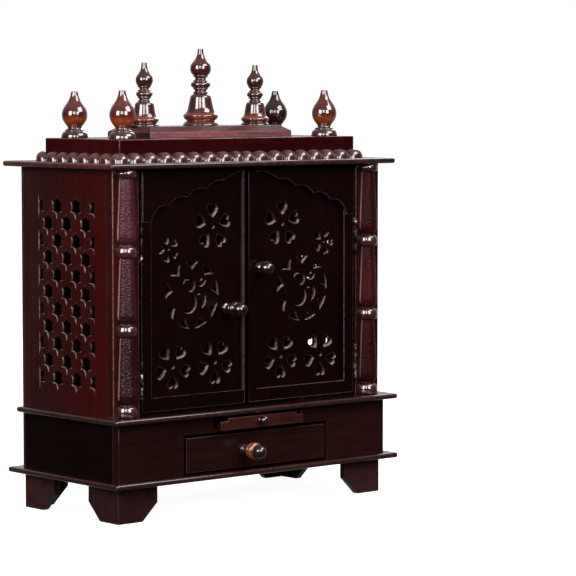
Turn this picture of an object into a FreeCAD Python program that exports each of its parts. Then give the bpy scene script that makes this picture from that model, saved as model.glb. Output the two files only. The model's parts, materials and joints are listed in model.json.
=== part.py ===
import FreeCAD, Part
import Sketcher
import math
import os

# Household prayer cabinet: a two-door shrine chamber with side lattices, over a
# low base with a drawer and a pull-out tray, under a stepped crown with finials.
# Origin: floor level under the middle of the overall width and depth. +Z up, front
# faces -Y, +X right. Depths in the sheet are counted from the middle of the base
# slab, and frame_y moves every piece from there to the origin.

doc = FreeCAD.newDocument("mandir")

# ---------------------------------------------------------------- driving sheet
sheet = doc.addObject("Spreadsheet::Sheet", "dims")
CELLS = [
    ("frame_y", 6.05),
    ("foot_height", 59.0), ("foot_reach", 80.0), ("foot_sole", 49.5), ("foot_step", 29.5),
    ("foot_board", 12.0), ("foot_x", 283.0), ("foot_front", -124.0), ("foot_rear", 131.0),
    ("slab_thick", 9.0), ("slab_round", 3.6), ("slab_half", 305.0),
    ("base_front", -150.0), ("base_rear", 150.0),
    ("mid_front", -149.0), ("mid_rear", 125.0),
    ("top_front", -141.5), ("top_rear", 159.5),
    ("low_height", 93.5), ("low_half", 287.0), ("low_front", -131.0), ("front_thick", 17.0),
    ("side_thick", 10.0), ("grille_thick", 6.0), ("back_rear", 131.0), ("back_thick", 6.0),
    ("up_height", 397.0), ("up_half", 286.6), ("up_front", -117.5), ("stile_thick", 18.0),
    ("stile_wide", 52.6), ("column_x", 260.3), ("ring_r", 18.2), ("shaft_r", 17.4), ("neck_r", 12.4),
    ("jali_low", 214.0), ("jali_high", 525.0),
    ("door_gap", 5.0), ("door_thick", 18.0), ("door_hinge_x", 229.0), ("left_edge", -12.0),
    ("right_edge", -5.0), ("field_deep", 8.0), ("field_bottom", 198.0), ("field_top", 558.0),
    ("arch_spring", 481.0), ("arch_thick", 11.0),
    ("pin_x", 231.5), ("pin_y", -119.8), ("pin_r", 1.3), ("knuckle_r", 2.9), ("hinge_long", 62.0),
    ("hinge_low", 228.0), ("hinge_high", 444.0),
    ("drawer_x0", -149.0), ("drawer_x1", 151.0), ("drawer_top", 128.5), ("drawer_low", 71.0),
    ("drawer_gap", 5.0), ("deck_low", 133.5), ("deck_thick", 4.0), ("drawer_depth", 216.0),
    ("drawer_board", 10.0), ("drawer_knob_x", -26.0), ("drawer_knob_z", 100.0),
    ("tray_mid", 3.5), ("tray_half", 89.0), ("tray_low", 136.5), ("tray_top", 156.5),
    ("tray_tab", 151.5), ("tray_tab_half", 74.5), ("tray_front_y", -143.5), ("tray_front_thick", 11.5),
    ("tray_board_half", 69.5), ("tray_board_low", 143.0), ("tray_board_thick", 7.0), ("tray_depth", 214.0),
    ("slot_half", 94.5),
    ("tier_height", 37.5), ("tier_half", 252.6), ("tier_front", -91.5), ("tier_rear", 110.0),
    ("tier_board", 12.0), ("tier_top", 9.0), ("bead_high", 16.0), ("bead_deep", 15.0),
    ("plinth_half", 153.0), ("plinth_front", -43.5), ("plinth_rear", 71.5), ("plinth_rise", 10.0),
    ("plinth_height", 19.0), ("plinth_run", 14.0),
    ("spire_y", 14.0), ("spire_x", 119.8), ("finial_x", 217.8), ("finial_front", -54.3), ("finial_rear", 75.3),
]
for i, (alias, value) in enumerate(CELLS):
    cell = "A%d" % (i + 1)
    sheet.set(cell, repr(float(value)))
    sheet.setAlias(cell, alias)
doc.recompute()


def val(name):
    return float(sheet.get(name))


def ref(text):
    """Write aliases as sheet references: words in CELLS get the sheet's name."""
    out, word = "", ""
    names = set(c[0] for c in CELLS)
    for ch in text + " ":
        if ch.isalnum() or ch == "_":
            word += ch
            continue
        out += ("dims." + word) if word in names else word
        word = ""
        out += ch
    return out.strip()


def num(text):
    """The value of the same expression, for shapes drawn point by point."""
    out, word = "", ""
    names = set(c[0] for c in CELLS)
    total = 0.0
    sign = 1.0
    for term in text.replace("-", "+-").split("+"):
        term = term.strip()
        if not term:
            continue
        sign = 1.0
        while term.startswith("-"):
            sign = -sign
            term = term[1:].strip()
        parts = [p.strip() for p in term.split("*")]
        v = 1.0
        for p in parts:
            v *= val(p) if p in names else float(p)
        total += sign * v
    return total


# levels, written once and used by name in the expressions below
Z_BASE = "foot_height"
Z_LOW = "foot_height + slab_thick"
Z_MID = "foot_height + slab_thick + low_height"
Z_UP = "foot_height + 2 * slab_thick + low_height"
Z_TOP = "foot_height + 2 * slab_thick + low_height + up_height"
Z_TIER = "foot_height + 3 * slab_thick + low_height + up_height"
Z_CROWN = "foot_height + 3 * slab_thick + low_height + up_height + tier_height"

PARTS = []


def keep(obj, label):
    obj.Label = label
    PARTS.append(obj)
    return obj


def bind(obj, **exprs):
    for prop, text in exprs.items():
        obj.setExpression(prop.replace("__", "."), ref(text))


def place(obj, x="0", y="0", z="0"):
    obj.setExpression("Placement.Base.x", ref(x))
    obj.setExpression("Placement.Base.y", ref("(%s) + frame_y" % y))
    obj.setExpression("Placement.Base.z", ref(z))


def box(name, x0, x1, y0, y1, z0, z1):
    b = doc.addObject("Part::Box", name)
    b.setExpression("Length", ref("(%s) - (%s)" % (x1, x0)))
    b.setExpression("Width", ref("(%s) - (%s)" % (y1, y0)))
    b.setExpression("Height", ref("(%s) - (%s)" % (z1, z0)))
    place(b, x0, y0, z0)
    return b


def plane(body, role):
    for f in body.Origin.OriginFeatures:
        if f.Role == role:
            return f
    raise RuntimeError("no " + role)


def new_body(name):
    return doc.addObject("PartDesign::Body", name)


def sketch_on(body, name, role, offset=None):
    sk = body.newObject("Sketcher::SketchObject", name)
    sk.AttachmentSupport = [(plane(body, role), "")]
    sk.MapMode = "FlatFace"
    if offset is not None:
        sk.setExpression("AttachmentOffset.Base.z", ref(offset))
    return sk


def add_polygon(sk, pts, tied=True):
    n = len(pts)
    geo = []
    for i in range(n):
        a, b = pts[i], pts[(i + 1) % n]
        geo.append(Part.LineSegment(FreeCAD.Vector(a[0], a[1], 0), FreeCAD.Vector(b[0], b[1], 0)))
    first = sk.GeometryCount
    sk.addGeometry(geo, False)
    if tied:
        cons = []
        for i in range(n):
            cons.append(Sketcher.Constraint("Coincident", first + i, 2, first + (i + 1) % n, 1))
        sk.addConstraint(cons)
    return first


def add_rect(sk, x0, x1, y0, y1):
    """Rectangle held by four dimensions, each bound to the sheet."""
    a, b, c, d = num(x0), num(x1), num(y0), num(y1)
    f = add_polygon(sk, [(a, c), (b, c), (b, d), (a, d)])
    sk.addConstraint([Sketcher.Constraint("Horizontal", f), Sketcher.Constraint("Vertical", f + 1),
                      Sketcher.Constraint("Horizontal", f + 2), Sketcher.Constraint("Vertical", f + 3)])
    for text, geo, pos, axis in ((x0, f, 1, "DistanceX"), (x1, f + 1, 1, "DistanceX"),
                                 (y0, f, 1, "DistanceY"), (y1, f + 2, 1, "DistanceY")):
        i = sk.addConstraint(Sketcher.Constraint(axis, -1, 1, geo, pos, num(text)))
        sk.setExpression("Constraints[%d]" % i, ref(text))
    return f


def pad(body, sk, length, name, reverse=False):
    p = body.newObject("PartDesign::Pad", name)
    p.Profile = sk
    p.setExpression("Length", ref(length))
    p.Reversed = reverse
    sk.Visibility = False
    return p


def pocket(body, sk, name, length=None, reverse=False):
    p = body.newObject("PartDesign::Pocket", name)
    p.Profile = sk
    if length is None:
        p.Type = "ThroughAll"
        p.Midplane = True
    else:
        p.setExpression("Length", ref(length))
        p.Reversed = reverse
    sk.Visibility = False
    return p


def cut_check(before, feature, what):
    doc.recompute()
    v = feature.Shape.Volume
    if not v < before - 1.0:
        raise RuntimeError(what + " cut nothing")
    return v


# ---------------------------------------------------------------- slabs
def slab(name, half, y0, y1, z0):
    body = new_body(name)
    sk = sketch_on(body, name + "_outline", "XY_Plane")
    add_rect(sk, "-" + half, half, y0, y1)
    p = pad(body, sk, "slab_thick", name + "_board")
    doc.recompute()
    fil = body.newObject("PartDesign::Fillet", name + "_round")
    fil.Base = (p, ["Edge%d" % (i + 1) for i in range(len(p.Shape.Edges))])
    fil.setExpression("Radius", ref("slab_round"))
    body.Tip = fil
    place(body, "0", "0", z0)
    return keep(body, name)


slab("base_slab", "slab_half", "base_front", "base_rear", Z_BASE)
slab("middle_slab", "slab_half", "mid_front", "mid_rear", Z_MID)
slab("top_slab", "slab_half", "top_front", "top_rear", Z_TOP)


# ---------------------------------------------------------------- feet
def foot(name, sx, front):
    """Bracket foot: two boards that meet at the outer corner, each with a sloped end."""
    pts = [(0, 0), (num("foot_sole"), 0), (num("foot_reach"), num("foot_step")),
           (num("foot_reach"), num("foot_height")), (0, num("foot_height"))]
    yo = "foot_front" if front else "foot_rear"
    sy = 1 if front else -1
    halves = []
    for tag, role in (("face", "XZ_Plane"), ("side", "YZ_Plane")):
        b = new_body(name + "_" + tag)
        sk = sketch_on(b, name + "_" + tag + "_outline", role)
        sgn = -sx if tag == "face" else sy
        add_polygon(sk, [(sgn * p[0], p[1]) for p in pts])
        if tag == "face":
            # the outline's normal is -Y: pad towards the inside of the foot
            pad(b, sk, "foot_board", name + "_" + tag + "_board", reverse=(sy > 0))
        else:
            pad(b, sk, "foot_board", name + "_" + tag + "_board", reverse=(sx > 0))
        place(b, ("foot_x" if sx > 0 else "-foot_x"), yo, "0")
        halves.append(b)
    f = doc.addObject("Part::MultiFuse", name)
    f.Shapes = halves
    return f


feet = doc.addObject("Part::Compound", "feet")
feet.Links = [foot("foot_front_left", -1, True), foot("foot_front_right", 1, True),
              foot("foot_rear_left", -1, False), foot("foot_rear_right", 1, False)]
keep(feet, "feet")

# ---------------------------------------------------------------- lower carcass
fb = new_body("front_board")
sk = sketch_on(fb, "front_board_outline", "XZ_Plane")
add_rect(sk, "-low_half", "low_half", Z_LOW, Z_MID)
p = pad(fb, sk, "front_thick", "front_board_plank")
sk = sketch_on(fb, "drawer_opening", "XZ_Plane")
add_rect(sk, "drawer_x0 - drawer_gap", "drawer_x1 + drawer_gap", "foot_height", "drawer_top + drawer_gap")
pk = pocket(fb, sk, "drawer_opening_cut")
v0 = cut_check(num("2 * low_half") * num("low_height") * num("front_thick"), pk, "drawer opening")
sk = sketch_on(fb, "tray_slot", "XZ_Plane")
add_rect(sk, "tray_mid - slot_half", "tray_mid + slot_half", "deck_low + deck_thick + 1", Z_MID + " + 5")
pk2 = pocket(fb, sk, "tray_slot_cut")
cut_check(v0, pk2, "tray slot")
fb.Tip = pk2
place(fb, "0", "low_front + front_thick", "0")
keep(fb, "front_board")

keep(box("lower_side_left", "-low_half", "-low_half + side_thick", "low_front + front_thick",
         "back_rear - back_thick", Z_LOW, Z_MID), "lower_side_left")
keep(box("lower_side_right", "low_half - side_thick", "low_half", "low_front + front_thick",
         "back_rear - back_thick", Z_LOW, Z_MID), "lower_side_right")
keep(box("back_panel", "-up_half", "up_half", "back_rear - back_thick", "back_rear", Z_LOW, Z_TOP), "back_panel")
keep(box("drawer_deck", "-low_half + side_thick", "low_half - side_thick", "low_front + front_thick",
         "back_rear - back_thick", "deck_low", "deck_low + deck_thick"), "drawer_deck")

# ---------------------------------------------------------------- shrine chamber
HOLE = [(0.0, 17.5), (1.7, 12.4), (4.6, 9.0), (9.4, 8.4), (14.2, 7.0), (11.4, 3.2), (10.8, -1.4),
        (12.2, -6.0), (15.4, -10.4), (9.6, -10.8), (4.6, -12.0), (1.9, -16.0), (0.0, -23.8),
        (-1.9, -16.0), (-4.6, -12.0), (-9.6, -10.8), (-15.4, -10.4), (-12.2, -6.0), (-10.8, -1.4),
        (-11.4, 3.2), (-14.2, 7.0), (-9.4, 8.4), (-4.6, 9.0), (-1.7, 12.4)]
PITCH_Y, PITCH_Z = 51.0, 56.2
JALI_Y = 7.0


def clip_half(pts, side):
    """The half of an outline on one side of its own middle line."""
    out = []
    n = len(pts)
    for i in range(n):
        a, b = pts[i], pts[(i + 1) % n]
        ina, inb = side * a[0] >= -1e-9, side * b[0] >= -1e-9
        if ina:
            out.append(a)
        if ina != inb:
            t = a[0] / (a[0] - b[0])
            out.append((0.0, a[1] + t * (b[1] - a[1])))
    clean = []
    for q in out:
        if not clean or math.hypot(q[0] - clean[-1][0], q[1] - clean[-1][1]) > 1e-6:
            clean.append(q)
    if math.hypot(clean[0][0] - clean[-1][0], clean[0][1] - clean[-1][1]) < 1e-6:
        clean.pop()
    return clean


def side_panel(name, sx):
    """Side board with its lattice of star-shaped holes, cut in one outline."""
    body = new_body(name)
    sk = sketch_on(body, name + "_outline", "YZ_Plane")
    add_rect(sk, "up_front + stile_thick", "back_rear - back_thick", Z_UP, Z_TOP)
    z_top = 505.9
    for r in range(6):
        z = z_top - r * PITCH_Z
        for c in (-0.5, 0.5):
            add_polygon(sk, [(JALI_Y + c * PITCH_Y + q[0], z + q[1]) for q in HOLE], False)
        # half holes where the row runs out at the edges of the lattice
        add_polygon(sk, [(JALI_Y + 1.5 * PITCH_Y + q[0], z + q[1]) for q in clip_half(HOLE, -1)], False)
        add_polygon(sk, [(JALI_Y - 1.5 * PITCH_Y + q[0], z + q[1]) for q in clip_half(HOLE, 1)], False)
    for r in range(5):
        z = z_top - (r + 0.5) * PITCH_Z
        for c in (-1, 0, 1):
            add_polygon(sk, [(JALI_Y + c * PITCH_Y + q[0], z + q[1]) for q in HOLE], False)
    p = pad(body, sk, "grille_thick", name + "_board", reverse=(sx > 0))
    p.Refine = False
    place(body, ("up_half" if sx > 0 else "-up_half"), "0", "0")
    doc.recompute()
    plain = (num("back_rear - back_thick") - num("up_front + stile_thick")) * num("up_height") * num("grille_thick")
    if not body.Shape.Volume < 0.95 * plain:
        raise RuntimeError(name + " has no holes")
    return keep(body, name)


side_panel("side_left", -1)
side_panel("side_right", 1)

keep(box("stile_left", "-up_half", "-up_half + stile_wide", "up_front", "up_front + stile_thick", Z_UP, Z_TOP),
     "stile_left")
keep(box("stile_right", "up_half - stile_wide", "up_half", "up_front", "up_front + stile_thick", Z_UP, Z_TOP),
     "stile_right")


# ---------------------------------------------------------------- turned pieces
def revolve(name, profile, label, angle=360.0):
    """Turned piece about its own Z axis: profile is (radius, height) up its outside."""
    body = new_body(name)
    sk = sketch_on(body, name + "_profile", "XZ_Plane")
    pts = [(0.0, profile[0][1])] + list(profile) + [(0.0, profile[-1][1])]
    add_polygon(sk, pts, False)
    r = body.newObject("PartDesign::Revolution", name + "_turning")
    r.Profile = sk
    r.ReferenceAxis = (sk, ["V_Axis"])
    r.Angle = angle
    sk.Visibility = False
    body.Tip = r
    return body


def smooth(points, steps=5):
    """Catmull-Rom through (radius, height) points, for rounded turned outlines."""
    out = []
    n = len(points)
    for i in range(n - 1):
        p0 = points[max(i - 1, 0)]
        p1, p2 = points[i], points[i + 1]
        p3 = points[min(i + 2, n - 1)]
        for s in range(steps):
            t = s / float(steps)
            q = []
            for k in range(2):
                a = 2 * p1[k]
                b = p2[k] - p0[k]
                c = 2 * p0[k] - 5 * p1[k] + 4 * p2[k] - p3[k]
                d = -p0[k] + 3 * p1[k] - 3 * p2[k] + p3[k]
                q.append(0.5 * (a + b * t + c * t * t + d * t * t * t))
            out.append((max(q[0], 0.5), q[1]))
    out.append(points[-1])
    return out


def column_profile():
    ring, shaft, neck = val("ring_r"), val("shaft_r"), val("neck_r")
    rings = [(170.5, 188.0), (300.5, 317.5), (427.0, 443.5), (554.0, 567.5)]
    base = num(Z_UP)
    prof = []

    def ring_pts(a, b):
        h = b - a
        return [(ring - 2.4, a), (ring - 0.5, a + 0.14 * h), (ring, a + 0.3 * h), (ring, a + 0.7 * h),
                (ring - 0.5, a + 0.86 * h), (ring - 2.4, b)]
    for i in range(3):
        a, b = rings[i]
        c = rings[i + 1][0]
        prof += ring_pts(a, b)
        L = c - b
        prof += [(neck + 0.6, b + 0.4), (neck, b + 0.035 * L), (neck + 1.4, b + 0.055 * L), (neck + 3.6, b + 0.085 * L),
                 (shaft - 0.4, b + 0.125 * L), (shaft, b + 0.16 * L), (shaft - 0.3, b + 0.24 * L),
                 (shaft - 1.5, b + 0.45 * L), (shaft - 3.0, b + 0.7 * L), (neck + 0.7, b + 0.92 * L),
                 (neck, c - 0.3)]
    prof += ring_pts(*rings[3])
    return [(r, z - base) for r, z in prof]


def column(name, sx):
    body = revolve(name, column_profile(), name, 180.0)
    doc.recompute()
    if body.Shape.BoundBox.YMax > 1.0:
        body.Tip.Reversed = True
    place(body, ("column_x" if sx > 0 else "-column_x"), "up_front", Z_UP)
    return keep(body, name)


column("column_left", -1)
column("column_right", 1)

SPIRE = [(29.6, 0.0), (30.0, 0.8), (29.8, 2.0), (28.6, 3.8), (27.2, 5.6), (25.2, 7.2), (23.6, 8.4), (25.0, 9.6),
         (27.4, 11.2), (28.8, 13.4), (29.3, 15.6), (29.2, 17.4), (27.8, 19.0), (25.8, 20.8), (24.4, 22.4), (23.2, 24.6),
         (22.2, 27.4), (21.2, 31.0), (20.2, 35.4), (19.3, 39.6), (18.6, 43.2), (17.9, 46.2), (17.2, 48.8), (15.8, 51.0),
         (13.4, 52.8), (11.4, 53.8), (12.6, 55.0), (12.4, 56.4), (10.2, 57.6), (10.0, 59.2), (11.2, 60.6), (12.8, 61.8),
         (12.6, 63.2), (14.4, 64.6), (16.0, 66.4), (16.5, 68.8), (16.0, 71.2), (14.2, 72.8), (12.4, 73.8), (12.6, 75.6),
         (10.4, 76.8), (9.2, 78.8), (9.8, 80.8), (12.0, 81.9), (12.8, 83.2), (12.2, 84.4), (14.2, 86.2), (16.2, 89.2),
         (17.2, 92.2), (17.5, 95.6), (17.1, 99.4), (16.0, 102.8), (13.8, 105.8), (10.8, 109.2), (8.2, 113.2), (6.4, 117.4),
         (5.3, 121.4), (4.9, 125.0), (4.7, 127.6), (4.4, 129.0)]
SIDE_SPIRE = [(24.2, 0.0), (24.4, 0.8), (23.8, 2.2), (22.2, 3.6), (20.2, 4.8), (21.4, 6.2), (23.0, 7.8), (24.0, 9.6),
              (24.0, 11.4), (22.8, 13.0), (20.8, 14.6), (19.6, 16.4), (18.8, 18.8), (18.0, 21.8), (17.6, 25.4), (17.0, 29.0),
              (16.2, 32.8), (15.7, 35.8), (14.6, 38.2), (12.6, 39.8), (10.6, 40.8), (10.9, 42.4), (9.0, 43.4), (8.6, 45.0),
              (10.2, 46.4), (11.4, 47.6), (11.3, 49.0), (13.0, 50.4), (13.9, 52.6), (13.6, 54.8), (12.2, 56.6), (10.7, 57.8),
              (10.9, 59.2), (8.8, 60.4), (7.9, 62.2), (9.2, 63.8), (10.9, 65.0), (11.0, 66.4), (12.2, 68.4), (13.7, 71.6),
              (14.4, 75.0), (14.3, 78.6), (13.4, 81.6), (11.4, 84.8), (9.0, 88.2), (7.0, 91.6), (5.7, 95.0), (5.0, 99.0),
              (4.6, 103.0), (4.3, 105.2)]


def spire(name, x, outline, k):
    prof = [(r, h * k) for r, h in outline]
    body = revolve(name, prof, name)
    place(body, x, "spire_y", Z_CROWN + " + plinth_height")
    return keep(body, name)


spire("spire_centre", "0", SPIRE, 1.0)
spire("spire_left", "-spire_x", SIDE_SPIRE, 1.0)
spire("spire_right", "spire_x", SIDE_SPIRE, 0.975)

FINIAL = [(22.0, 0.0), (22.3, 1.4), (22.0, 3.6), (21.3, 6.0), (20.2, 8.2), (18.4, 10.2), (16.2, 11.6), (16.2, 13.0),
          (14.2, 14.6), (12.0, 15.8), (11.5, 17.4), (12.0, 19.0), (13.6, 21.0), (15.6, 23.6), (17.6, 26.6), (19.2, 29.4),
          (20.3, 32.2), (20.9, 35.2), (21.1, 38.4), (20.9, 41.8), (20.3, 44.8), (19.1, 48.0), (17.4, 51.6), (15.2, 55.0),
          (12.9, 58.4), (10.6, 61.8), (8.8, 65.4), (7.5, 69.0), (6.5, 72.6), (5.8, 76.0), (5.2, 78.2)]
# the front pair stands a little taller than the rear pair
finials = doc.addObject("Part::Compound", "corner_finials")
links = []
for tag, x, y in (("front_left", "-finial_x", "finial_front"), ("front_right", "finial_x", "finial_front"),
                  ("rear_left", "-finial_x", "finial_rear"), ("rear_right", "finial_x", "finial_rear")):
    k = 1.004 if tag.startswith("front") else 0.982
    b = revolve("finial_" + tag, smooth([(r, h * k) for r, h in FINIAL], 2), tag)
    place(b, x, y, Z_CROWN)
    links.append(b)
finials.Links = links
keep(finials, "corner_finials")

# ---------------------------------------------------------------- crown
cr = new_body("crown_rails")
sk = sketch_on(cr, "crown_outline", "XY_Plane")
add_rect(sk, "-tier_half", "tier_half", "tier_front", "tier_rear")
p = pad(cr, sk, "tier_height - tier_top", "crown_ring")
doc.recompute()
v = p.Shape.Volume
sk = sketch_on(cr, "crown_inside", "XY_Plane")
add_rect(sk, "-tier_half + tier_board", "tier_half - tier_board", "tier_front + tier_board", "tier_rear - tier_board")
pk = pocket(cr, sk, "crown_hollow")
cut_check(v, pk, "crown hollow")
cr.Tip = pk
place(cr, "0", "0", Z_TIER)
keep(cr, "crown_rails")
keep(box("crown_top", "-tier_half", "tier_half", "tier_front", "tier_rear", Z_CROWN + " - tier_top", Z_CROWN),
     "crown_top")


def bead_strip(name, along_x, lo, hi, face, out):
    """Quarter-round strip that stands on the top slab against the crown."""
    body = new_body(name)
    role = "YZ_Plane" if along_x else "XZ_Plane"
    sk = sketch_on(body, name + "_section", role)
    d, hgt = val("bead_deep"), val("bead_high")
    pts = [(0.0, 0.0), (d, 0.0)]
    for i in range(1, 6):
        a = math.radians(18 * i)
        pts.append((d * (0.55 + 0.45 * math.cos(a)), hgt * math.sin(a)))
    pts[-1] = (d * 0.55, hgt)
    pts.append((0.0, hgt))
    add_polygon(sk, [(out * q[0], q[1]) for q in pts])
    p = pad(body, sk, "(%s) - (%s)" % (hi, lo), name + "_run")
    doc.recompute()
    bb = body.Shape.BoundBox
    if along_x:
        place(body, lo if bb.XMin > -1 else hi, face, Z_TIER)
    else:
        place(body, face, lo if bb.YMin > -1 else hi, Z_TIER)
    return body


D = "bead_deep"
strips = [bead_strip("bead_front", True, "-tier_half - bead_deep", "tier_half + bead_deep", "tier_front", -1),
          bead_strip("bead_rear", True, "-tier_half - bead_deep", "tier_half + bead_deep", "tier_rear", 1),
          bead_strip("bead_left", False, "tier_front", "tier_rear", "-tier_half", -1),
          bead_strip("bead_right", False, "tier_front", "tier_rear", "tier_half", 1)]
bead = doc.addObject("Part::MultiFuse", "bead_moulding")
bead.Shapes = strips
keep(bead, "bead_moulding")

pl = doc.addObject("Part::Wedge", "spire_plinth_bevel")
bind(pl, Xmin="-plinth_half", Xmax="plinth_half", Zmin="-plinth_rear", Zmax="-plinth_front",
     X2min="-plinth_half + plinth_run", X2max="plinth_half - plinth_run",
     Z2min="-plinth_rear + plinth_run", Z2max="-plinth_front - plinth_run",
     Ymin="plinth_rise", Ymax="plinth_height")
pl.Placement = FreeCAD.Placement(FreeCAD.Vector(0, 0, 0), FreeCAD.Rotation(FreeCAD.Vector(1, 0, 0), 90))
pb = box("spire_plinth_step", "-plinth_half", "plinth_half", "plinth_front", "plinth_rear", "0", "plinth_rise")
# the two steps are joined first and moved together
pb.setExpression("Placement.Base.y", ref("plinth_front"))
pf = doc.addObject("Part::MultiFuse", "spire_plinth")
pf.Shapes = [pl, pb]
pf.Refine = True
pf.Placement = FreeCAD.Placement(FreeCAD.Vector(0, 0, 0), FreeCAD.Rotation(FreeCAD.Vector(0, 0, 1), 0))
place(pf, "0", "0", Z_CROWN)
keep(pf, "spire_plinth")

# ---------------------------------------------------------------- doors
def heart(cx, cz, r0, r1, wide, ang, n=7):
    """Heart petal: its point at radius r0, two lobes out to radius r1, along ang (degrees)."""
    L = r1 - r0
    half = [(0.0, 0.0), (0.22 * wide, 0.2 * L), (0.40 * wide, 0.42 * L), (0.5 * wide, 0.64 * L), (0.49 * wide, 0.82 * L),
            (0.37 * wide, 0.96 * L), (0.24 * wide, 1.0 * L), (0.11 * wide, 0.95 * L), (0.0, 0.84 * L)]
    loop = half[:-1] + [half[-1]] + [(-x, y) for x, y in reversed(half[1:-1])]
    a = math.radians(ang)
    ux, uz = math.cos(a), math.sin(a)
    px, pz = -uz, ux
    return [(cx + (r0 + y) * ux + x * px, cz + (r0 + y) * uz + x * pz) for x, y in loop]


def disc(cx, cz, r, n=12):
    return [(cx + r * math.cos(2 * math.pi * i / n), cz + r * math.sin(2 * math.pi * i / n)) for i in range(n)]


def flower(cx, cz, r, turn):
    """Five heart petals round a small hole, the first one turned to the angle given."""
    out = [heart(cx, cz, 0.36 * r, r, 0.62 * r, turn + 72 * i) for i in range(5)]
    out.append(disc(cx, cz, 0.11 * r, 10))
    return out


def wedge(cx, cz, r0, r1, ang, half, n=4):
    """Slot of a spoked ring: a short arc outside, drawn in to a point at radius r0."""
    pts = []
    for i in range(n + 1):
        a = math.radians(ang - half + 2.0 * half * i / n)
        pts.append((cx + r1 * math.cos(a), cz + r1 * math.sin(a)))
    a = math.radians(ang)
    pts.append((cx + r0 * math.cos(a), cz + r0 * math.sin(a)))
    return pts


def stroke(pts, widths):
    """Closed outline of a pen stroke along pts with a half width at each point."""
    left, right = [], []
    n = len(pts)
    for i in range(n):
        a, b = pts[max(i - 1, 0)], pts[min(i + 1, n - 1)]
        dx, dy = b[0] - a[0], b[1] - a[1]
        L = math.hypot(dx, dy)
        nx, ny = -dy / L, dx / L
        w = widths[i]
        left.append((pts[i][0] + nx * w, pts[i][1] + ny * w))
        right.append((pts[i][0] - nx * w, pts[i][1] - ny * w))
    return left + right[::-1]


def om_strokes(cx, cz, k):
    """The sacred syllable as open strokes: a double bowl, a tail, a crescent and a dot."""
    bowl = [(-18, 19), (-14.5, 25), (-7, 27.6), (0, 24.6), (3.4, 17), (1.4, 9.6), (-5, 4.4), (2, -0.6), (5.6, -8.5),
            (5, -18), (-0.6, -25.2), (-8, -27.4), (-15.6, -25.4), (-20.6, -20.6)]
    wb = [1.2, 2.4, 3.2, 3.5, 3.6, 3.2, 2.2, 3.0, 3.8, 4.0, 3.8, 3.2, 2.4, 1.1]
    tail = [(11.2, -0.4), (15.2, 1.8), (20.6, 1.8), (25.4, -2.4), (26.6, -9.6), (24.6, -17), (20.6, -22)]
    wt = [1.0, 2.2, 2.9, 3.3, 3.0, 2.2, 0.9]
    moon = [(8.6, 24.6), (12.4, 17.8), (18.4, 15.2), (24.8, 17.4), (28.2, 23.0)]
    wm = [0.8, 2.1, 2.6, 2.1, 0.8]
    out = [stroke([(cx + x * k, cz + y * k) for x, y in bowl], [w * k for w in wb]),
           stroke([(cx + x * k, cz + y * k) for x, y in tail], [w * k for w in wt]),
           stroke([(cx + x * k, cz + y * k) for x, y in moon], [w * k for w in wm]),
           disc(cx + 18.2 * k, cz + 25.4 * k, 3.3 * k, 10)]
    return out


def door_holes(sx):
    hx = lambda x: sx * x
    out = []
    out += flower(hx(75.3), 470.0, 37.5, 90)
    out += flower(hx(167.3), 436.0, 21.0, 38 if hx(1.0) < 0 else -2)
    out += flower(hx(159.5), 245.0, 36.5, -90)
    out += flower(hx(71.0), 247.0, 36.5, -90)
    cx, cz = hx(119.0), 360.0
    for i in range(9):
        out.append(wedge(cx, cz, 40.0, 55.5, 90 + 40 * i, 14.5))
    out += om_strokes(cx, cz, 1.0)
    return out


FOILS = [((-209.4, 481.0), (-201.5, 498.5), (-173.5, 507.0)), ((-173.5, 507.0), (-161.0, 517.5), (-135.5, 518.5)),
         ((-135.5, 518.5), (-121.5, 530.5), (-96.5, 531.5)), ((-96.5, 531.5), (-81.0, 542.5), (-57.5, 544.5)),
         ((-57.5, 544.5), (-42.0, 553.5), (-12.0, 559.5))]


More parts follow.
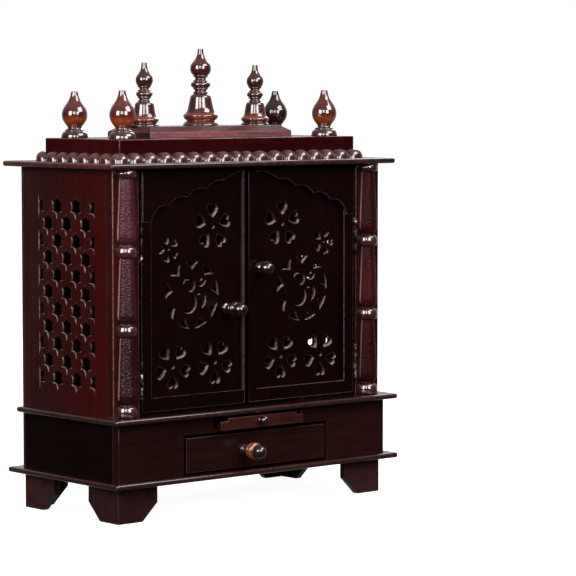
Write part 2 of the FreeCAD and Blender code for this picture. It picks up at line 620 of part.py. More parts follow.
def door(name, sx):
    x0, x1 = ("-door_hinge_x", "left_edge") if sx < 0 else ("right_edge", "door_hinge_x")
    z0, z1 = Z_UP + " + door_gap", Z_TOP + " - door_gap"
    body = new_body(name)
    sk = sketch_on(body, name + "_outline", "XZ_Plane")
    add_rect(sk, x0, x1, z0, z1)
    for loop in door_holes(sx):
        add_polygon(sk, loop, False)
    p = pad(body, sk, "door_thick", name + "_board")
    p.Refine = False
    doc.recompute()
    v = p.Shape.Volume
    plain = (num(x1) - num(x0)) * (num(z1) - num(z0)) * num("door_thick")
    if not v < 0.97 * plain:
        raise RuntimeError(name + " has no piercing")
    # the board stands in front of its own back face; the field is sunk from the front
    sk = sketch_on(body, name + "_field", "XZ_Plane", "door_thick")
    if sx < 0:
        add_rect(sk, "-209", "left_edge - 3", "field_bottom", "field_top")
    else:
        add_rect(sk, "right_edge + 17", "207", "field_bottom", "field_top")
    pk = pocket(body, sk, name + "_sunk_field", "field_deep")
    pk.Refine = False
    cut_check(v, pk, name + " field")
    body.Tip = pk
    place(body, "0", "up_front + door_thick", "0")
    keep(body, name)

    arch = new_body("arch_board_" + name[5:])
    sk = sketch_on(arch, name + "_arch_outline", "XZ_Plane")
    top = num(z1)
    edge = num(x0) if sx < 0 else num(x1)
    meet = num(x1) if sx < 0 else num(x0)
    V = lambda q: FreeCAD.Vector(q[0], q[1], 0)
    mir = lambda q: (q[0] if sx < 0 else -q[0], q[1])
    geo = []
    start = (edge, 481.0)
    geo.append(Part.LineSegment(V(start), V(mir(FOILS[0][0]))))
    foils = list(FOILS)
    if sx > 0:
        last = foils[-1]
        foils[-1] = (last[0], (-38.0, 554.6), (num(x0) * -1 if num(x0) < 0 else -12.0, 560.2))
    for f in foils:
        a, b, c = mir(f[0]), mir(f[1]), mir(f[2])
        if f is foils[-1]:
            c = (meet, c[1])
        geo.append(Part.Arc(V(a), V(b), V(c)))
        end = c
    geo.append(Part.LineSegment(V(end), V((meet, top))))
    geo.append(Part.LineSegment(V((meet, top)), V((edge, top))))
    geo.append(Part.LineSegment(V((edge, top)), V(start)))
    sk.addGeometry(geo, False)
    n = len(geo)
    cons = []
    pos = []
    for i, g in enumerate(geo):
        s, e = (1, 2)
        if isinstance(g, Part.Arc):
            # a sketch arc runs anticlockwise: find which of its ends comes first here
            a = sk.Geometry[i]
            p_first = sk.getPoint(i, 1)
            want = geo[i - 1].EndPoint if not isinstance(geo[i - 1], Part.Arc) else pos[-1][2]
            if (p_first - want).Length > 0.01:
                s, e = 2, 1
        pos.append((s, e, sk.getPoint(i, e)))
    for i in range(n):
        j = (i + 1) % n
        cons.append(Sketcher.Constraint("Coincident", i, pos[i][1], j, pos[j][0]))
    sk.addConstraint(cons)
    pad(arch, sk, "arch_thick", name + "_arch_board")
    place(arch, "0", "up_front + field_deep", "0")
    return arch


arches = {}
for nm, s in (("door_left", -1), ("door_right", 1)):
    arches[nm] = door(nm, s)
doc.recompute()
# where the arch lies over the raised frame of the door it is let into it
for nm in ("door_left", "door_right"):
    c = doc.addObject("Part::Cut", "arch_" + nm[5:])
    c.Base = arches[nm]
    c.Tool = doc.getObject(nm)
    keep(c, "arch_" + nm[5:])

KNOB = [(8.6, 0.0), (8.9, 1.4), (7.6, 2.6), (5.6, 4.0), (5.2, 7.5), (5.6, 10.6), (7.6, 13.0), (9.8, 14.8), (10.3, 16.8),
        (9.2, 18.6), (8.4, 19.8), (11.2, 21.4), (12.8, 24.0), (12.6, 26.6), (10.8, 28.8), (9.4, 30.2), (10.8, 32.0),
        (11.8, 35.4), (11.8, 39.0), (10.2, 43.0), (7.0, 46.4), (3.0, 47.8)]
SHORT_KNOB = [(7.6, 0.0), (8.0, 1.2), (7.8, 3.2), (6.4, 4.8), (5.8, 6.4), (8.2, 8.0), (10.2, 10.2), (10.4, 12.4), (9.2, 14.4),
              (8.6, 15.8), (10.4, 17.6), (11.7, 20.6), (12.0, 24.4), (11.2, 28.4), (8.8, 32.4), (5.6, 34.8), (2.6, 35.5)]


def knob(name, profile, x, y, z):
    body = revolve(name, profile, name)
    body.Placement = FreeCAD.Placement(FreeCAD.Vector(0, 0, 0), FreeCAD.Rotation(FreeCAD.Vector(1, 0, 0), 90))
    place(body, x, y, z)
    return keep(body, name)


knob("door_knob_left", KNOB, "-47", "up_front + field_deep", "334")
knob("door_knob_right", SHORT_KNOB, "21.5", "up_front + field_deep", "398.5")
DKNOB = [(9.6, 0.0), (9.9, 1.8), (8.4, 3.6), (6.6, 6.0), (6.4, 9.6), (8.0, 13.0), (10.8, 15.6), (12.5, 17.8), (12.8, 19.8),
         (11.8, 21.4), (13.2, 23.0), (14.4, 25.6), (14.3, 28.6), (12.8, 31.0), (10.8, 32.4), (11.3, 34.4), (11.6, 38.0),
         (10.9, 42.4), (8.8, 46.6), (5.4, 49.2), (2.6, 50.0)]
knob("drawer_knob", DKNOB, "drawer_knob_x", "low_front", "drawer_knob_z")
TKNOB = [(5.2, 0.0), (4.2, 1.6), (3.6, 4.0), (5.4, 6.2), (7.4, 8.0), (8.0, 10.4), (7.4, 13.2), (5.4, 15.4), (2.2, 16.2)]
knob("tray_knob", TKNOB, "tray_mid - 4", "tray_front_y", "148.5")


# ---------------------------------------------------------------- hinges
def cyl(name, r, length, x, y, z):
    c = doc.addObject("Part::Cylinder", name)
    c.setExpression("Radius", ref(r))
    c.setExpression("Height", ref(length))
    place(c, x, y, z)
    return c


def hinge(side, sx):
    px = "-pin_x" if sx < 0 else "pin_x"
    frame_parts, door_parts = [], []
    for tag, zc in (("low", "hinge_low"), ("high", "hinge_high")):
        n = "%s_%s" % (side, tag)
        z0 = zc + " - 0.5 * hinge_long"
        # leaf on the stile's edge and its two knuckles, with the pin
        if sx < 0:
            fl = box("frame_leaf_" + n, "-up_half + stile_wide", "-up_half + stile_wide + 1.3", "pin_y - 0.6",
                     "pin_y + 15", z0, zc + " + 0.5 * hinge_long")
            dl = box("door_leaf_" + n, "-door_hinge_x - 1.3", "-door_hinge_x", "pin_y - 0.6", "pin_y + 15", z0,
                     zc + " + 0.5 * hinge_long")
        else:
            fl = box("frame_leaf_" + n, "up_half - stile_wide - 1.3", "up_half - stile_wide", "pin_y - 0.6",
                     "pin_y + 15", z0, zc + " + 0.5 * hinge_long")
            dl = box("door_leaf_" + n, "door_hinge_x", "door_hinge_x + 1.3", "pin_y - 0.6", "pin_y + 15", z0,
                     zc + " + 0.5 * hinge_long")
        k1 = cyl("knuckle_a_" + n, "knuckle_r", "hinge_long * 0.3", px, "pin_y", z0)
        k3 = cyl("knuckle_c_" + n, "knuckle_r", "hinge_long * 0.3", px, "pin_y", z0 + " + hinge_long * 0.7")
        pin = cyl("hinge_pin_" + n, "pin_r", "hinge_long", px, "pin_y", z0)
        k2 = cyl("knuckle_b_" + n, "knuckle_r", "hinge_long * 0.4 - 0.6", px, "pin_y", z0 + " + hinge_long * 0.3 + 0.3")
        bore = cyl("knuckle_bore_" + n, "pin_r + 0.06", "hinge_long * 0.4 + 2", px, "pin_y",
                   z0 + " + hinge_long * 0.3 - 1")
        # leaves are notched where the other leaf's knuckles turn
        notch_f = box("notch_f_" + n, px + " - 3.4", px + " + 3.4", "pin_y - 3.4", "pin_y + 3.4",
                      z0 + " + hinge_long * 0.3", z0 + " + hinge_long * 0.7")
        notch_d1 = box("notch_d1_" + n, px + " - 3.4", px + " + 3.4", "pin_y - 3.4", "pin_y + 3.4", z0 + " - 1",
                       z0 + " + hinge_long * 0.3 + 0.3")
        notch_d2 = box("notch_d2_" + n, px + " - 3.4", px + " + 3.4", "pin_y - 3.4", "pin_y + 3.4",
                       z0 + " + hinge_long * 0.7 - 0.3", z0 + " + hinge_long + 1")
        fc = doc.addObject("Part::Cut", "frame_leaf_cut_" + n)
        fc.Base, fc.Tool = fl, notch_f
        ff = doc.addObject("Part::MultiFuse", "hinge_frame_" + n)
        ff.Shapes = [fc, k1, k3, pin]
        dd = doc.addObject("Part::MultiFuse", "notches_" + n)
        dd.Shapes = [notch_d1, notch_d2]
        dc = doc.addObject("Part::Cut", "door_leaf_cut_" + n)
        dc.Base, dc.Tool = dl, dd
        df0 = doc.addObject("Part::MultiFuse", "hinge_door_raw_" + n)
        df0.Shapes = [dc, k2]
        df = doc.addObject("Part::Cut", "hinge_door_" + n)
        df.Base, df.Tool = df0, bore
        frame_parts.append(ff)
        door_parts.append(df)
    a = doc.addObject("Part::Compound", "hinge_leaves_frame_" + side)
    a.Links = frame_parts
    keep(a, "hinge_leaves_frame_" + side)
    b = doc.addObject("Part::Compound", "hinge_leaves_door_" + side)
    b.Links = door_parts
    keep(b, "hinge_leaves_door_" + side)


hinge("left", -1)
hinge("right", 1)

# ---------------------------------------------------------------- drawer
BY0 = "low_front + front_thick"
BY1 = "low_front + front_thick + drawer_depth"
SX0, SX1 = "drawer_x0 + 8", "drawer_x1 - 8"
keep(box("drawer_front", "drawer_x0", "drawer_x1", "low_front", BY0, "drawer_low", "drawer_top"), "drawer_front")
dl = box("drawer_side_l", SX0, SX0 + " + drawer_board", BY0, BY1, "drawer_low + 2", "drawer_top - 6")
dr = box("drawer_side_r", SX1 + " - drawer_board", SX1, BY0, BY1, "drawer_low + 2", "drawer_top - 6")
ds = doc.addObject("Part::Compound", "drawer_sides")
ds.Links = [dl, dr]
keep(ds, "drawer_sides")
keep(box("drawer_back", SX0 + " + drawer_board", SX1 + " - drawer_board", BY1 + " - drawer_board", BY1, "drawer_low + 7",
         "drawer_top - 6"), "drawer_back")
keep(box("drawer_bottom", SX0 + " + drawer_board", SX1 + " - drawer_board", BY0, BY1, "drawer_low + 3",
         "drawer_low + 7"), "drawer_bottom")
ra = box("drawer_runner_l", SX0, SX0 + " + drawer_board", BY0 + " + 12", "back_rear - back_thick", Z_LOW, "drawer_low + 1")
rb = box("drawer_runner_r", SX1 + " - drawer_board", SX1, BY0 + " + 12", "back_rear - back_thick", Z_LOW, "drawer_low + 1")
rr = doc.addObject("Part::Compound", "drawer_runners")
rr.Links = [ra, rb]
keep(rr, "drawer_runners")

# ---------------------------------------------------------------- pull-out tray
TX0, TX1 = "tray_mid - tray_board_half", "tray_mid + tray_board_half"
keep(box("tray_board", TX0, TX1, "tray_front_y + tray_front_thick", "tray_front_y + tray_front_thick + tray_depth",
         "tray_board_low", "tray_board_low + tray_board_thick"), "tray_board")
tf = new_body("tray_front")
sk = sketch_on(tf, "tray_front_outline", "XZ_Plane")
h0, h1, z0, z1, z2 = val("tray_half"), val("tray_tab_half"), val("tray_low"), val("tray_tab"), val("tray_top")
add_polygon(sk, [(-h0, z0), (h0, z0), (h0, z1), (h1, z1), (h1, z2), (-h1, z2), (-h1, z1), (-h0, z1)])
pad(tf, sk, "tray_front_thick", "tray_front_board")
place(tf, "tray_mid", "tray_front_y + tray_front_thick", "0")
keep(tf, "tray_front")
ga = box("tray_guide_l", TX0, TX0 + " + 10", BY0, "back_rear - back_thick - 20", "deck_low + deck_thick",
         "tray_board_low - 1")
gb = box("tray_guide_r", TX1 + " - 10", TX1, BY0, "back_rear - back_thick - 20", "deck_low + deck_thick",
         "tray_board_low - 1")
gg = doc.addObject("Part::Compound", "tray_guides")
gg.Links = [ga, gb]
keep(gg, "tray_guides")

# ---------------------------------------------------------------- checks and files
doc.recompute()
for obj in doc.Objects:
    bad = [s for s in obj.State if s in ("Invalid", "Error")]
    if bad:
        raise RuntimeError("%s is %s" % (obj.Label, bad))
names = set()
for obj in PARTS:
    shp = obj.Shape
    if shp.isNull() or not shp.isValid():
        raise RuntimeError("bad shape: " + obj.Label)
    if shp.Volume < 1.0 or not shp.Solids:
        raise RuntimeError("no solid: " + obj.Label)
    if obj.Label in names:
        raise RuntimeError("twice: " + obj.Label)
    names.add(obj.Label)
os.makedirs("parts", exist_ok=True)
for obj in PARTS:
    obj.Shape.exportStep("parts/" + obj.Label + ".step")
    b = obj.Shape.BoundBox
    print("%-26s %2d solids  x %.1f..%.1f  y %.1f..%.1f  z %.1f..%.1f" % (
        obj.Label, len(obj.Shape.Solids), b.XMin, b.XMax, b.YMin, b.YMax, b.ZMin, b.ZMax))
print(len(PARTS), "nodes")
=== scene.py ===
import json
import math

import bmesh
import bpy
from mathutils import Matrix, Vector
from mathutils.geometry import tessellate_polygon

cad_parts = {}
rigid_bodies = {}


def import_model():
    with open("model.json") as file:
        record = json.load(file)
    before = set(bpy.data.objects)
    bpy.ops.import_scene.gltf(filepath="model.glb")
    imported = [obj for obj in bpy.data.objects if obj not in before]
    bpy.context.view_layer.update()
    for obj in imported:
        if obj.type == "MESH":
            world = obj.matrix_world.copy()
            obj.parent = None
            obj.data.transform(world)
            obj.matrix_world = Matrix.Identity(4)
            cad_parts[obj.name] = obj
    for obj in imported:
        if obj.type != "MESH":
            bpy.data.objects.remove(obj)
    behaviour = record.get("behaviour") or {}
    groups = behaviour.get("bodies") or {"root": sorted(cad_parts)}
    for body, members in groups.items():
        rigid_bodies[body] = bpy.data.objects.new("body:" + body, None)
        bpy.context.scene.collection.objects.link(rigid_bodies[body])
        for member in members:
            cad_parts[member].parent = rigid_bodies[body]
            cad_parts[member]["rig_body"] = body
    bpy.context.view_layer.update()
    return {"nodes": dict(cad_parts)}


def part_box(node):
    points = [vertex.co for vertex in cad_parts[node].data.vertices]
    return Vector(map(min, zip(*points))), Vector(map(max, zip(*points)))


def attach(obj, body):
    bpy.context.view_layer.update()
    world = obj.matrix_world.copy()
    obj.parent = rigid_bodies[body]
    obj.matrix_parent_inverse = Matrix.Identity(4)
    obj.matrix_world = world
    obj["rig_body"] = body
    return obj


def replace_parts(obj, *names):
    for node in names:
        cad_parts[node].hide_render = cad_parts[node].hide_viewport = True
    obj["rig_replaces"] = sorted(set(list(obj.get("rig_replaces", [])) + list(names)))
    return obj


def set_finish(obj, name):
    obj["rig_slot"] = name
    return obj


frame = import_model()

MM = 0.001
FY = 6.05                     # depths below are counted from the middle of the base slab
UP_FRONT, LOW_FRONT = -117.5, -131.0
Z_UP, Z_TOP, Z_TIER, Z_CROWN = 170.5, 567.5, 576.5, 614.0


def P(x, y, z):
    return Vector((x * MM, (y + FY) * MM, z * MM))


# ------------------------------------------------------------------ materials
class Tree:
    """Small helper that adds and links shader nodes."""

    def __init__(self, name):
        self.mat = bpy.data.materials.new(name)
        self.mat.use_nodes = True
        self.t = self.mat.node_tree
        self.t.nodes.clear()
        self.out = self.t.nodes.new("ShaderNodeOutputMaterial")
        self.b = self.t.nodes.new("ShaderNodeBsdfPrincipled")
        self.t.links.new(self.b.outputs["BSDF"], self.out.inputs["Surface"])
        self.co = self.t.nodes.new("ShaderNodeTexCoord").outputs["Object"]

    def link(self, a, b):
        self.t.links.new(a, b)

    def mapping(self, scale, rot=(0, 0, 0), loc=(0, 0, 0)):
        n = self.t.nodes.new("ShaderNodeMapping")
        n.inputs["Scale"].default_value = scale
        n.inputs["Rotation"].default_value = rot
        n.inputs["Location"].default_value = loc
        self.link(self.co, n.inputs["Vector"])
        return n.outputs["Vector"]

    def noise(self, vec, scale, detail=4.0, rough=0.55, distort=0.0):
        n = self.t.nodes.new("ShaderNodeTexNoise")
        n.inputs["Scale"].default_value = scale
        n.inputs["Detail"].default_value = detail
        n.inputs["Roughness"].default_value = rough
        n.inputs["Distortion"].default_value = distort
        self.link(vec, n.inputs["Vector"])
        return n.outputs["Fac"]

    def voronoi(self, vec, scale, smooth=0.6):
        n = self.t.nodes.new("ShaderNodeTexVoronoi")
        n.feature = "SMOOTH_F1"
        n.inputs["Scale"].default_value = scale
        n.inputs["Smoothness"].default_value = smooth
        self.link(vec, n.inputs["Vector"])
        return n.outputs["Distance"]

    def ramp(self, fac, stops):
        n = self.t.nodes.new("ShaderNodeValToRGB")
        cr = n.color_ramp
        cr.elements[0].position, cr.elements[0].color = stops[0][0], tuple(stops[0][1]) + (1.0,)
        cr.elements[1].position, cr.elements[1].color = stops[-1][0], tuple(stops[-1][1]) + (1.0,)
        for pos, col in stops[1:-1]:
            e = cr.elements.new(pos)
            e.color = tuple(col) + (1.0,)
        self.link(fac, n.inputs["Fac"])
        return n.outputs["Color"]

    def remap(self, v, a, b, c, d):
        n = self.t.nodes.new("ShaderNodeMapRange")
        n.inputs["From Min"].default_value, n.inputs["From Max"].default_value = a, b
        n.inputs["To Min"].default_value, n.inputs["To Max"].default_value = c, d
        self.link(v, n.inputs["Value"])
        return n.outputs["Result"]

    def mix(self, fac, a, b, mode="MIX"):
        n = self.t.nodes.new("ShaderNodeMix")
        n.data_type = "RGBA"
        n.blend_type = mode
        for sock, v in ((n.inputs[0], fac), (n.inputs[6], a), (n.inputs[7], b)):
            if isinstance(v, (int, float)):
                sock.default_value = v
            elif isinstance(v, tuple):
                sock.default_value = v + (1.0,)
            else:
                self.link(v, sock)
        return n.outputs[2]

    def math(self, op, a, b=0.0):
        n = self.t.nodes.new("ShaderNodeMath")
        n.operation = op
        for sock, v in ((n.inputs[0], a), (n.inputs[1], b)):
            if isinstance(v, (int, float)):
                sock.default_value = v
            else:
                self.link(v, sock)
        return n.outputs["Value"]

    def scale(self, vec, k):
        n = self.t.nodes.new("ShaderNodeVectorMath")
        n.operation = "SCALE"
        n.inputs["Scale"].default_value = k
        self.link(vec, n.inputs[0])
        return n.outputs["Vector"]

    def attr(self, name):
        n = self.t.nodes.new("ShaderNodeAttribute")
        n.attribute_name = name
        return n.outputs["Fac"]

    def axis(self, i):
        n = self.t.nodes.new("ShaderNodeSeparateXYZ")
        self.link(self.co, n.inputs["Vector"])
        return n.outputs[i]

    def bump(self, height, strength, dist, before=None):
        n = self.t.nodes.new("ShaderNodeBump")
        n.inputs["Strength"].default_value = strength
        n.inputs["Distance"].default_value = dist
        self.link(height, n.inputs["Height"])
        if before is not None:
            self.link(before, n.inputs["Normal"])
        return n.outputs["Normal"]


def lacquer(name, deep, light, worn_and_lit, grain="X", rough=0.30, coat=0.35, coat_rough=0.12, edge=0.6, peel=0.5,
            hammer=0.0, streak=1.0, level=0.5, bands=None):
    """Stained wood under semi-gloss lacquer: streaky stain along the grain, pores, orange peel
    in the film, uneven gloss, and a lighter edge colour: partly worn stain, partly painted highlight."""
    t = Tree(name)
    along = {"X": (1.0, 9.0, 9.0), "Y": (9.0, 1.0, 9.0), "Z": (9.0, 9.0, 1.0)}[grain]
    fine = {"X": (0.10, 1.0, 1.0), "Y": (1.0, 0.10, 1.0), "Z": (1.0, 1.0, 0.10)}[grain]
    g = t.noise(t.mapping(along), 7.0, 6.0, 0.62, 0.9)
    col = t.ramp(g, [(0.28, deep), (0.52, tuple(0.5 * (a + b) for a, b in zip(deep, light))), (0.78, light)])
    pores = t.noise(t.mapping(fine), 900.0, 3.0, 0.6, 0.0)
    porem = t.remap(pores, 0.52, 0.72, 0.0, 0.55 * streak)
    col = t.mix(porem, col, tuple(0.35 * c for c in deep))
    cloud = t.noise(t.mapping((1, 1, 1)), 5.5, 3.0, 0.5, 0.3)
    shade = t.ramp(cloud, [(0.3, (0.72, 0.70, 0.70)), (0.7, (1.2, 1.2, 1.2))])
    col = t.mix(1.0, col, shade, "MULTIPLY")
    # Colour bands along one axis of the piece, which several materials below use to paint light and shade.
    if bands is not None:
        axis, lo, hi, stops = bands
        stops = [(p, tuple(v / 6.0 for v in c)) for p, c in stops]
        col = t.mix(1.0, col, t.ramp(t.remap(t.axis(axis), lo, hi, 0.0, 1.0), stops), "MULTIPLY")
        col = t.scale(col, 6.0)
    # Lighter colour on the masked edges: partly worn stain, partly painted highlight.
    wear_and_highlight = t.attr("wear_and_highlight")
    speck = t.noise(t.mapping((1, 1, 1)), 160.0, 4.0, 0.65, 0.0)
    wm = t.math("MULTIPLY", wear_and_highlight, t.remap(speck, 0.38, 0.62, 0.25 * edge, edge))
    col = t.mix(wm, col, worn_and_lit)
    t.link(col, t.b.inputs["Base Color"])
    r1 = t.noise(t.mapping((1, 1, 1)), 26.0, 5.0, 0.6, 0.0)
    rr = t.remap(r1, 0.3, 0.7, rough - 0.06, rough + 0.09)
    t.link(t.math("ADD", rr, t.math("MULTIPLY", porem, 0.12)), t.b.inputs["Roughness"])
    t.b.inputs["Specular IOR Level"].default_value = level
    t.b.inputs["Coat Weight"].default_value = coat
    t.b.inputs["Coat Roughness"].default_value = coat_rough
    n = t.bump(t.noise(t.mapping((1, 1, 1)), 240.0, 2.0, 0.5, 0.0), 0.25 * peel, 0.0006)
    n = t.bump(pores, 0.10 * streak, 0.0003, n)
    if hammer:
        v = t.voronoi(t.mapping((1, 1, 0.8)), 430.0)
        n = t.bump(v, hammer, 0.0007, n)
        n = t.bump(t.noise(t.mapping((1, 1, 1)), 620.0, 3.0, 0.6, 0.0), 0.6 * hammer, 0.0005, n)
    t.link(n, t.b.inputs["Normal"])
    t.link(n, t.b.inputs["Coat Normal"])
    return t.mat


def hinge_steel(name):
    t = Tree(name)
    g = t.noise(t.mapping((1, 1, 1)), 90.0, 6.0, 0.65, 0.4)
    col = t.ramp(g, [(0.40, (0.012, 0.006, 0.006)), (0.55, (0.035, 0.018, 0.018)), (0.66, (0.55, 0.48, 0.46))])
    rust = t.noise(t.mapping((1, 1, 1)), 210.0, 5.0, 0.7, 0.0)
    col = t.mix(t.remap(rust, 0.6, 0.75, 0.0, 0.7), col, (0.10, 0.035, 0.018))
    t.link(col, t.b.inputs["Base Color"])
    t.b.inputs["Metallic"].default_value = 0.85
    t.link(t.remap(g, 0.3, 0.7, 0.5, 0.24), t.b.inputs["Roughness"])
    t.link(t.bump(rust, 0.35, 0.0004), t.b.inputs["Normal"])
    return t.mat


DEEP, LIGHT = (0.0105, 0.0026, 0.0024), (0.021, 0.0052, 0.0046)
# Edge colour of the dark lacquer: partly worn stain, partly painted highlight on edges that face the light.
WORN_AND_LIT = (0.10, 0.040, 0.034)
M = {}
for axis in "XYZ":
    M["dark_" + axis.lower()] = lacquer("dark_lacquer_" + axis.lower(), DEEP, LIGHT, WORN_AND_LIT, axis, 0.20, 0.12, 0.12, 0.5,
                                     level=0.2)
M["slab"] = lacquer("slab_lacquer", (0.0100, 0.0024, 0.0024), (0.0200, 0.0048, 0.0046), (0.13, 0.052, 0.050), "X", 0.15, 0.6,
                    0.06, 0.2, 0.2, level=0.4)
# Lighter, redder copy of the slab lacquer for all but the front and back faces of the top slab: painted light from the
# lamp on the left.
M["slab_top_lit"] = lacquer("slab_top_lit_lacquer", (0.028, 0.0056, 0.0054), (0.054, 0.0110, 0.0104), (0.16, 0.050, 0.048), "X", 0.22, 0.3,
                        0.10, 0.35, level=0.3)
# Side panels: the light edge colour is partly wear and partly painted highlight on the rims of the openings; the Y band
# paints a purple-grey sheen towards the back of each side and a redder front.
M["side"] = lacquer("red_brown_side", (0.024, 0.0026, 0.0022), (0.042, 0.0050, 0.0040), (0.38, 0.235, 0.215), "Z", 0.22, 0.15,
                    0.14, 0.9, level=0.2, bands=(1, -0.10, 0.13, [(0.0, (1.15, 0.75, 0.75)), (0.45, (1.0, 1.0, 1.0)),
                                                                   (1.0, (0.95, 2.0, 2.7))]))
# Near-black lacquer for the deep walls inside the lattice openings: painted shade.
M["reveal_shade"] = lacquer("lattice_reveal_shade", (0.0050, 0.0010, 0.0010), (0.0100, 0.0020, 0.0020), (0.38, 0.235, 0.215), "Z", 0.26,
                      0.10, 0.14, 0.9, level=0.12)
M["low_side"] = lacquer("lower_side_lacquer", (0.0036, 0.0009, 0.0009), (0.0075, 0.0018, 0.0018), (0.05, 0.02, 0.018), "Y",
                        0.20, 0.1, 0.14, 0.3, level=0.12)
# Lighter than the carcass lacquer: painted light standing in for the bounce from the pale floor.
M["feet"] = lacquer("feet_lit_lacquer", (0.025, 0.0078, 0.0086), (0.048, 0.0145, 0.0158), (0.12, 0.055, 0.05), "X", 0.26, 0.2, 0.14,
                    0.35, level=0.3)
# The Y band darkens the front face of the tier: painted shade.
M["crown"] = lacquer("crown_lacquer", (0.021, 0.0010, 0.0013), (0.038, 0.0020, 0.0022), (0.15, 0.05, 0.04), "X", 0.20, 0.12,
                     0.12, 0.35, level=0.2, bands=(1, -0.088, 0.120, [(0.00, (0.66, 0.52, 0.80)), (0.016, (0.66, 0.52, 0.80)),
                                                                     (0.045, (1.08, 1.1, 1.15)), (1.0, (1.08, 1.1, 1.15))]))
M["turned"] = lacquer("turned_lacquer", (0.028, 0.0048, 0.0042), (0.064, 0.0116, 0.0090), (0.12, 0.045, 0.034), "Z", 0.12, 1.0,
                      0.04, 0.6, 0.25, level=0.9, bands=(2, 0.630, 0.765, [(0.00, (0.8, 0.8, 0.8)), (0.06, (1.0, 1.0, 0.9)),
                                                                           (0.085, (3.2, 3.0, 1.4)), (0.145, (2.8, 2.6, 1.3)),
                                                                           (0.19, (1.0, 0.9, 0.9)), (1.0, (1.1, 1.0, 1.1))]))
# Darker copy of the turned lacquer without bands, for the rear right finial: painted shade.
M["turned_shaded"] = lacquer("turned_lacquer_shaded", (0.012, 0.0026, 0.0024), (0.026, 0.0056, 0.0048), (0.12, 0.045, 0.034), "Z",
                           0.12, 1.0, 0.04, 0.6, 0.25, level=0.7)
# The Z band darkens the lower part of the left column: painted shade where the light falls off towards the bottom.
M["column"] = lacquer("column_lacquer", (0.028, 0.0042, 0.0066), (0.056, 0.0086, 0.0126), (0.17, 0.070, 0.066), "Z", 0.30, 0.22,
                      0.08, 0.5, 0.8, 1.0, level=0.12,
                      bands=(2, 0.17, 0.555, [(0.00, (0.34, 0.24, 0.22)), (0.30, (0.42, 0.30, 0.28)), (0.60, (0.85, 0.85, 0.85)),
                                              (1.0, (1.2, 1.2, 1.25))]))
# Lighter, redder copy of the dark lacquer for the left stile only: painted light from the left; the right stile keeps
# the dark lacquer.
M["stile"] = lacquer("stile_lit_lacquer", (0.018, 0.0028, 0.0029), (0.034, 0.0055, 0.0054), (0.24, 0.085, 0.065), "Z", 0.22, 0.15, 0.12,
                     0.8, level=0.2)
# Light colour for the strip down each column's left side: a painted rim highlight.
M["column_rim_highlight"] = lacquer("column_rim_highlight_lacquer", (0.22, 0.085, 0.070), (0.40, 0.17, 0.14), (0.40, 0.20, 0.17), "Z", 0.26, 0.4, 0.10,
                           0.5, 0.5, 0.4, level=0.3)
M["column_ring"] = lacquer("column_ring_lacquer", (0.030, 0.0062, 0.0060), (0.060, 0.0130, 0.0120), (0.17, 0.070, 0.060), "X", 0.12,
                           1.0, 0.05, 0.6, 0.25, level=1.0)
# Darker copy of the column lacquer for the right column: painted shade, as it stands further from the light; its Z band
# paints a lit patch on the middle shaft.
M["column_r"] = lacquer("column_lacquer_shaded", (0.020, 0.0019, 0.0026), (0.040, 0.0037, 0.0047), (0.13, 0.05, 0.045), "Z",
                        0.26, 0.05, 0.08, 0.4, 0.7, 0.9, level=0.04,
                        bands=(2, 0.17, 0.555, [(0.00, (0.9, 0.9, 0.9)), (0.32, (1.0, 1.0, 1.0)), (0.40, (1.35, 1.5, 1.25)),
                                                (0.66, (1.35, 1.45, 1.25)), (0.72, (0.9, 0.9, 1.1)), (1.0, (0.9, 0.9, 1.1))]))
# The Z bands paint light along the height: an orange glow on the lower half of the bulb and a pinkish sheen on the
# upper cone, over a darker foot.
M["finial"] = lacquer("finial_lacquer", (0.028, 0.0046, 0.0034), (0.064, 0.0115, 0.0070), (0.14, 0.05, 0.03), "Z", 0.10, 1.0,
                      0.03, 0.6, 0.2, level=1.0, bands=(2, 0.614, 0.692, [(0.00, (0.6, 0.7, 1.0)), (0.20, (0.7, 0.8, 1.0)),
                                                               (0.26, (3.2, 3.2, 1.4)), (0.38, (5.2, 5.6, 1.8)),
                                                               (0.48, (1.6, 1.4, 1.0)), (0.58, (1.0, 0.9, 1.0)),
                                                               (0.75, (1.7, 1.5, 1.8)), (1.00, (2.4, 2.2, 2.6))]))
M["bead"] = lacquer("bead_lacquer", (0.030, 0.0062, 0.0076), (0.060, 0.0140, 0.0160), (0.15, 0.060, 0.055), "X", 0.18, 1.0,
                    0.085, 0.6, 0.25, level=0.7)
# The light edge colour is partly wear and partly painted highlight on the rims of the openings, frames and arches.
M["door"] = lacquer("door_lacquer", (0.0034, 0.0008, 0.0009), (0.0066, 0.0015, 0.0016), (0.29, 0.185, 0.182), "Z", 0.20, 0.08,
                    0.10, 0.9, level=0.12)
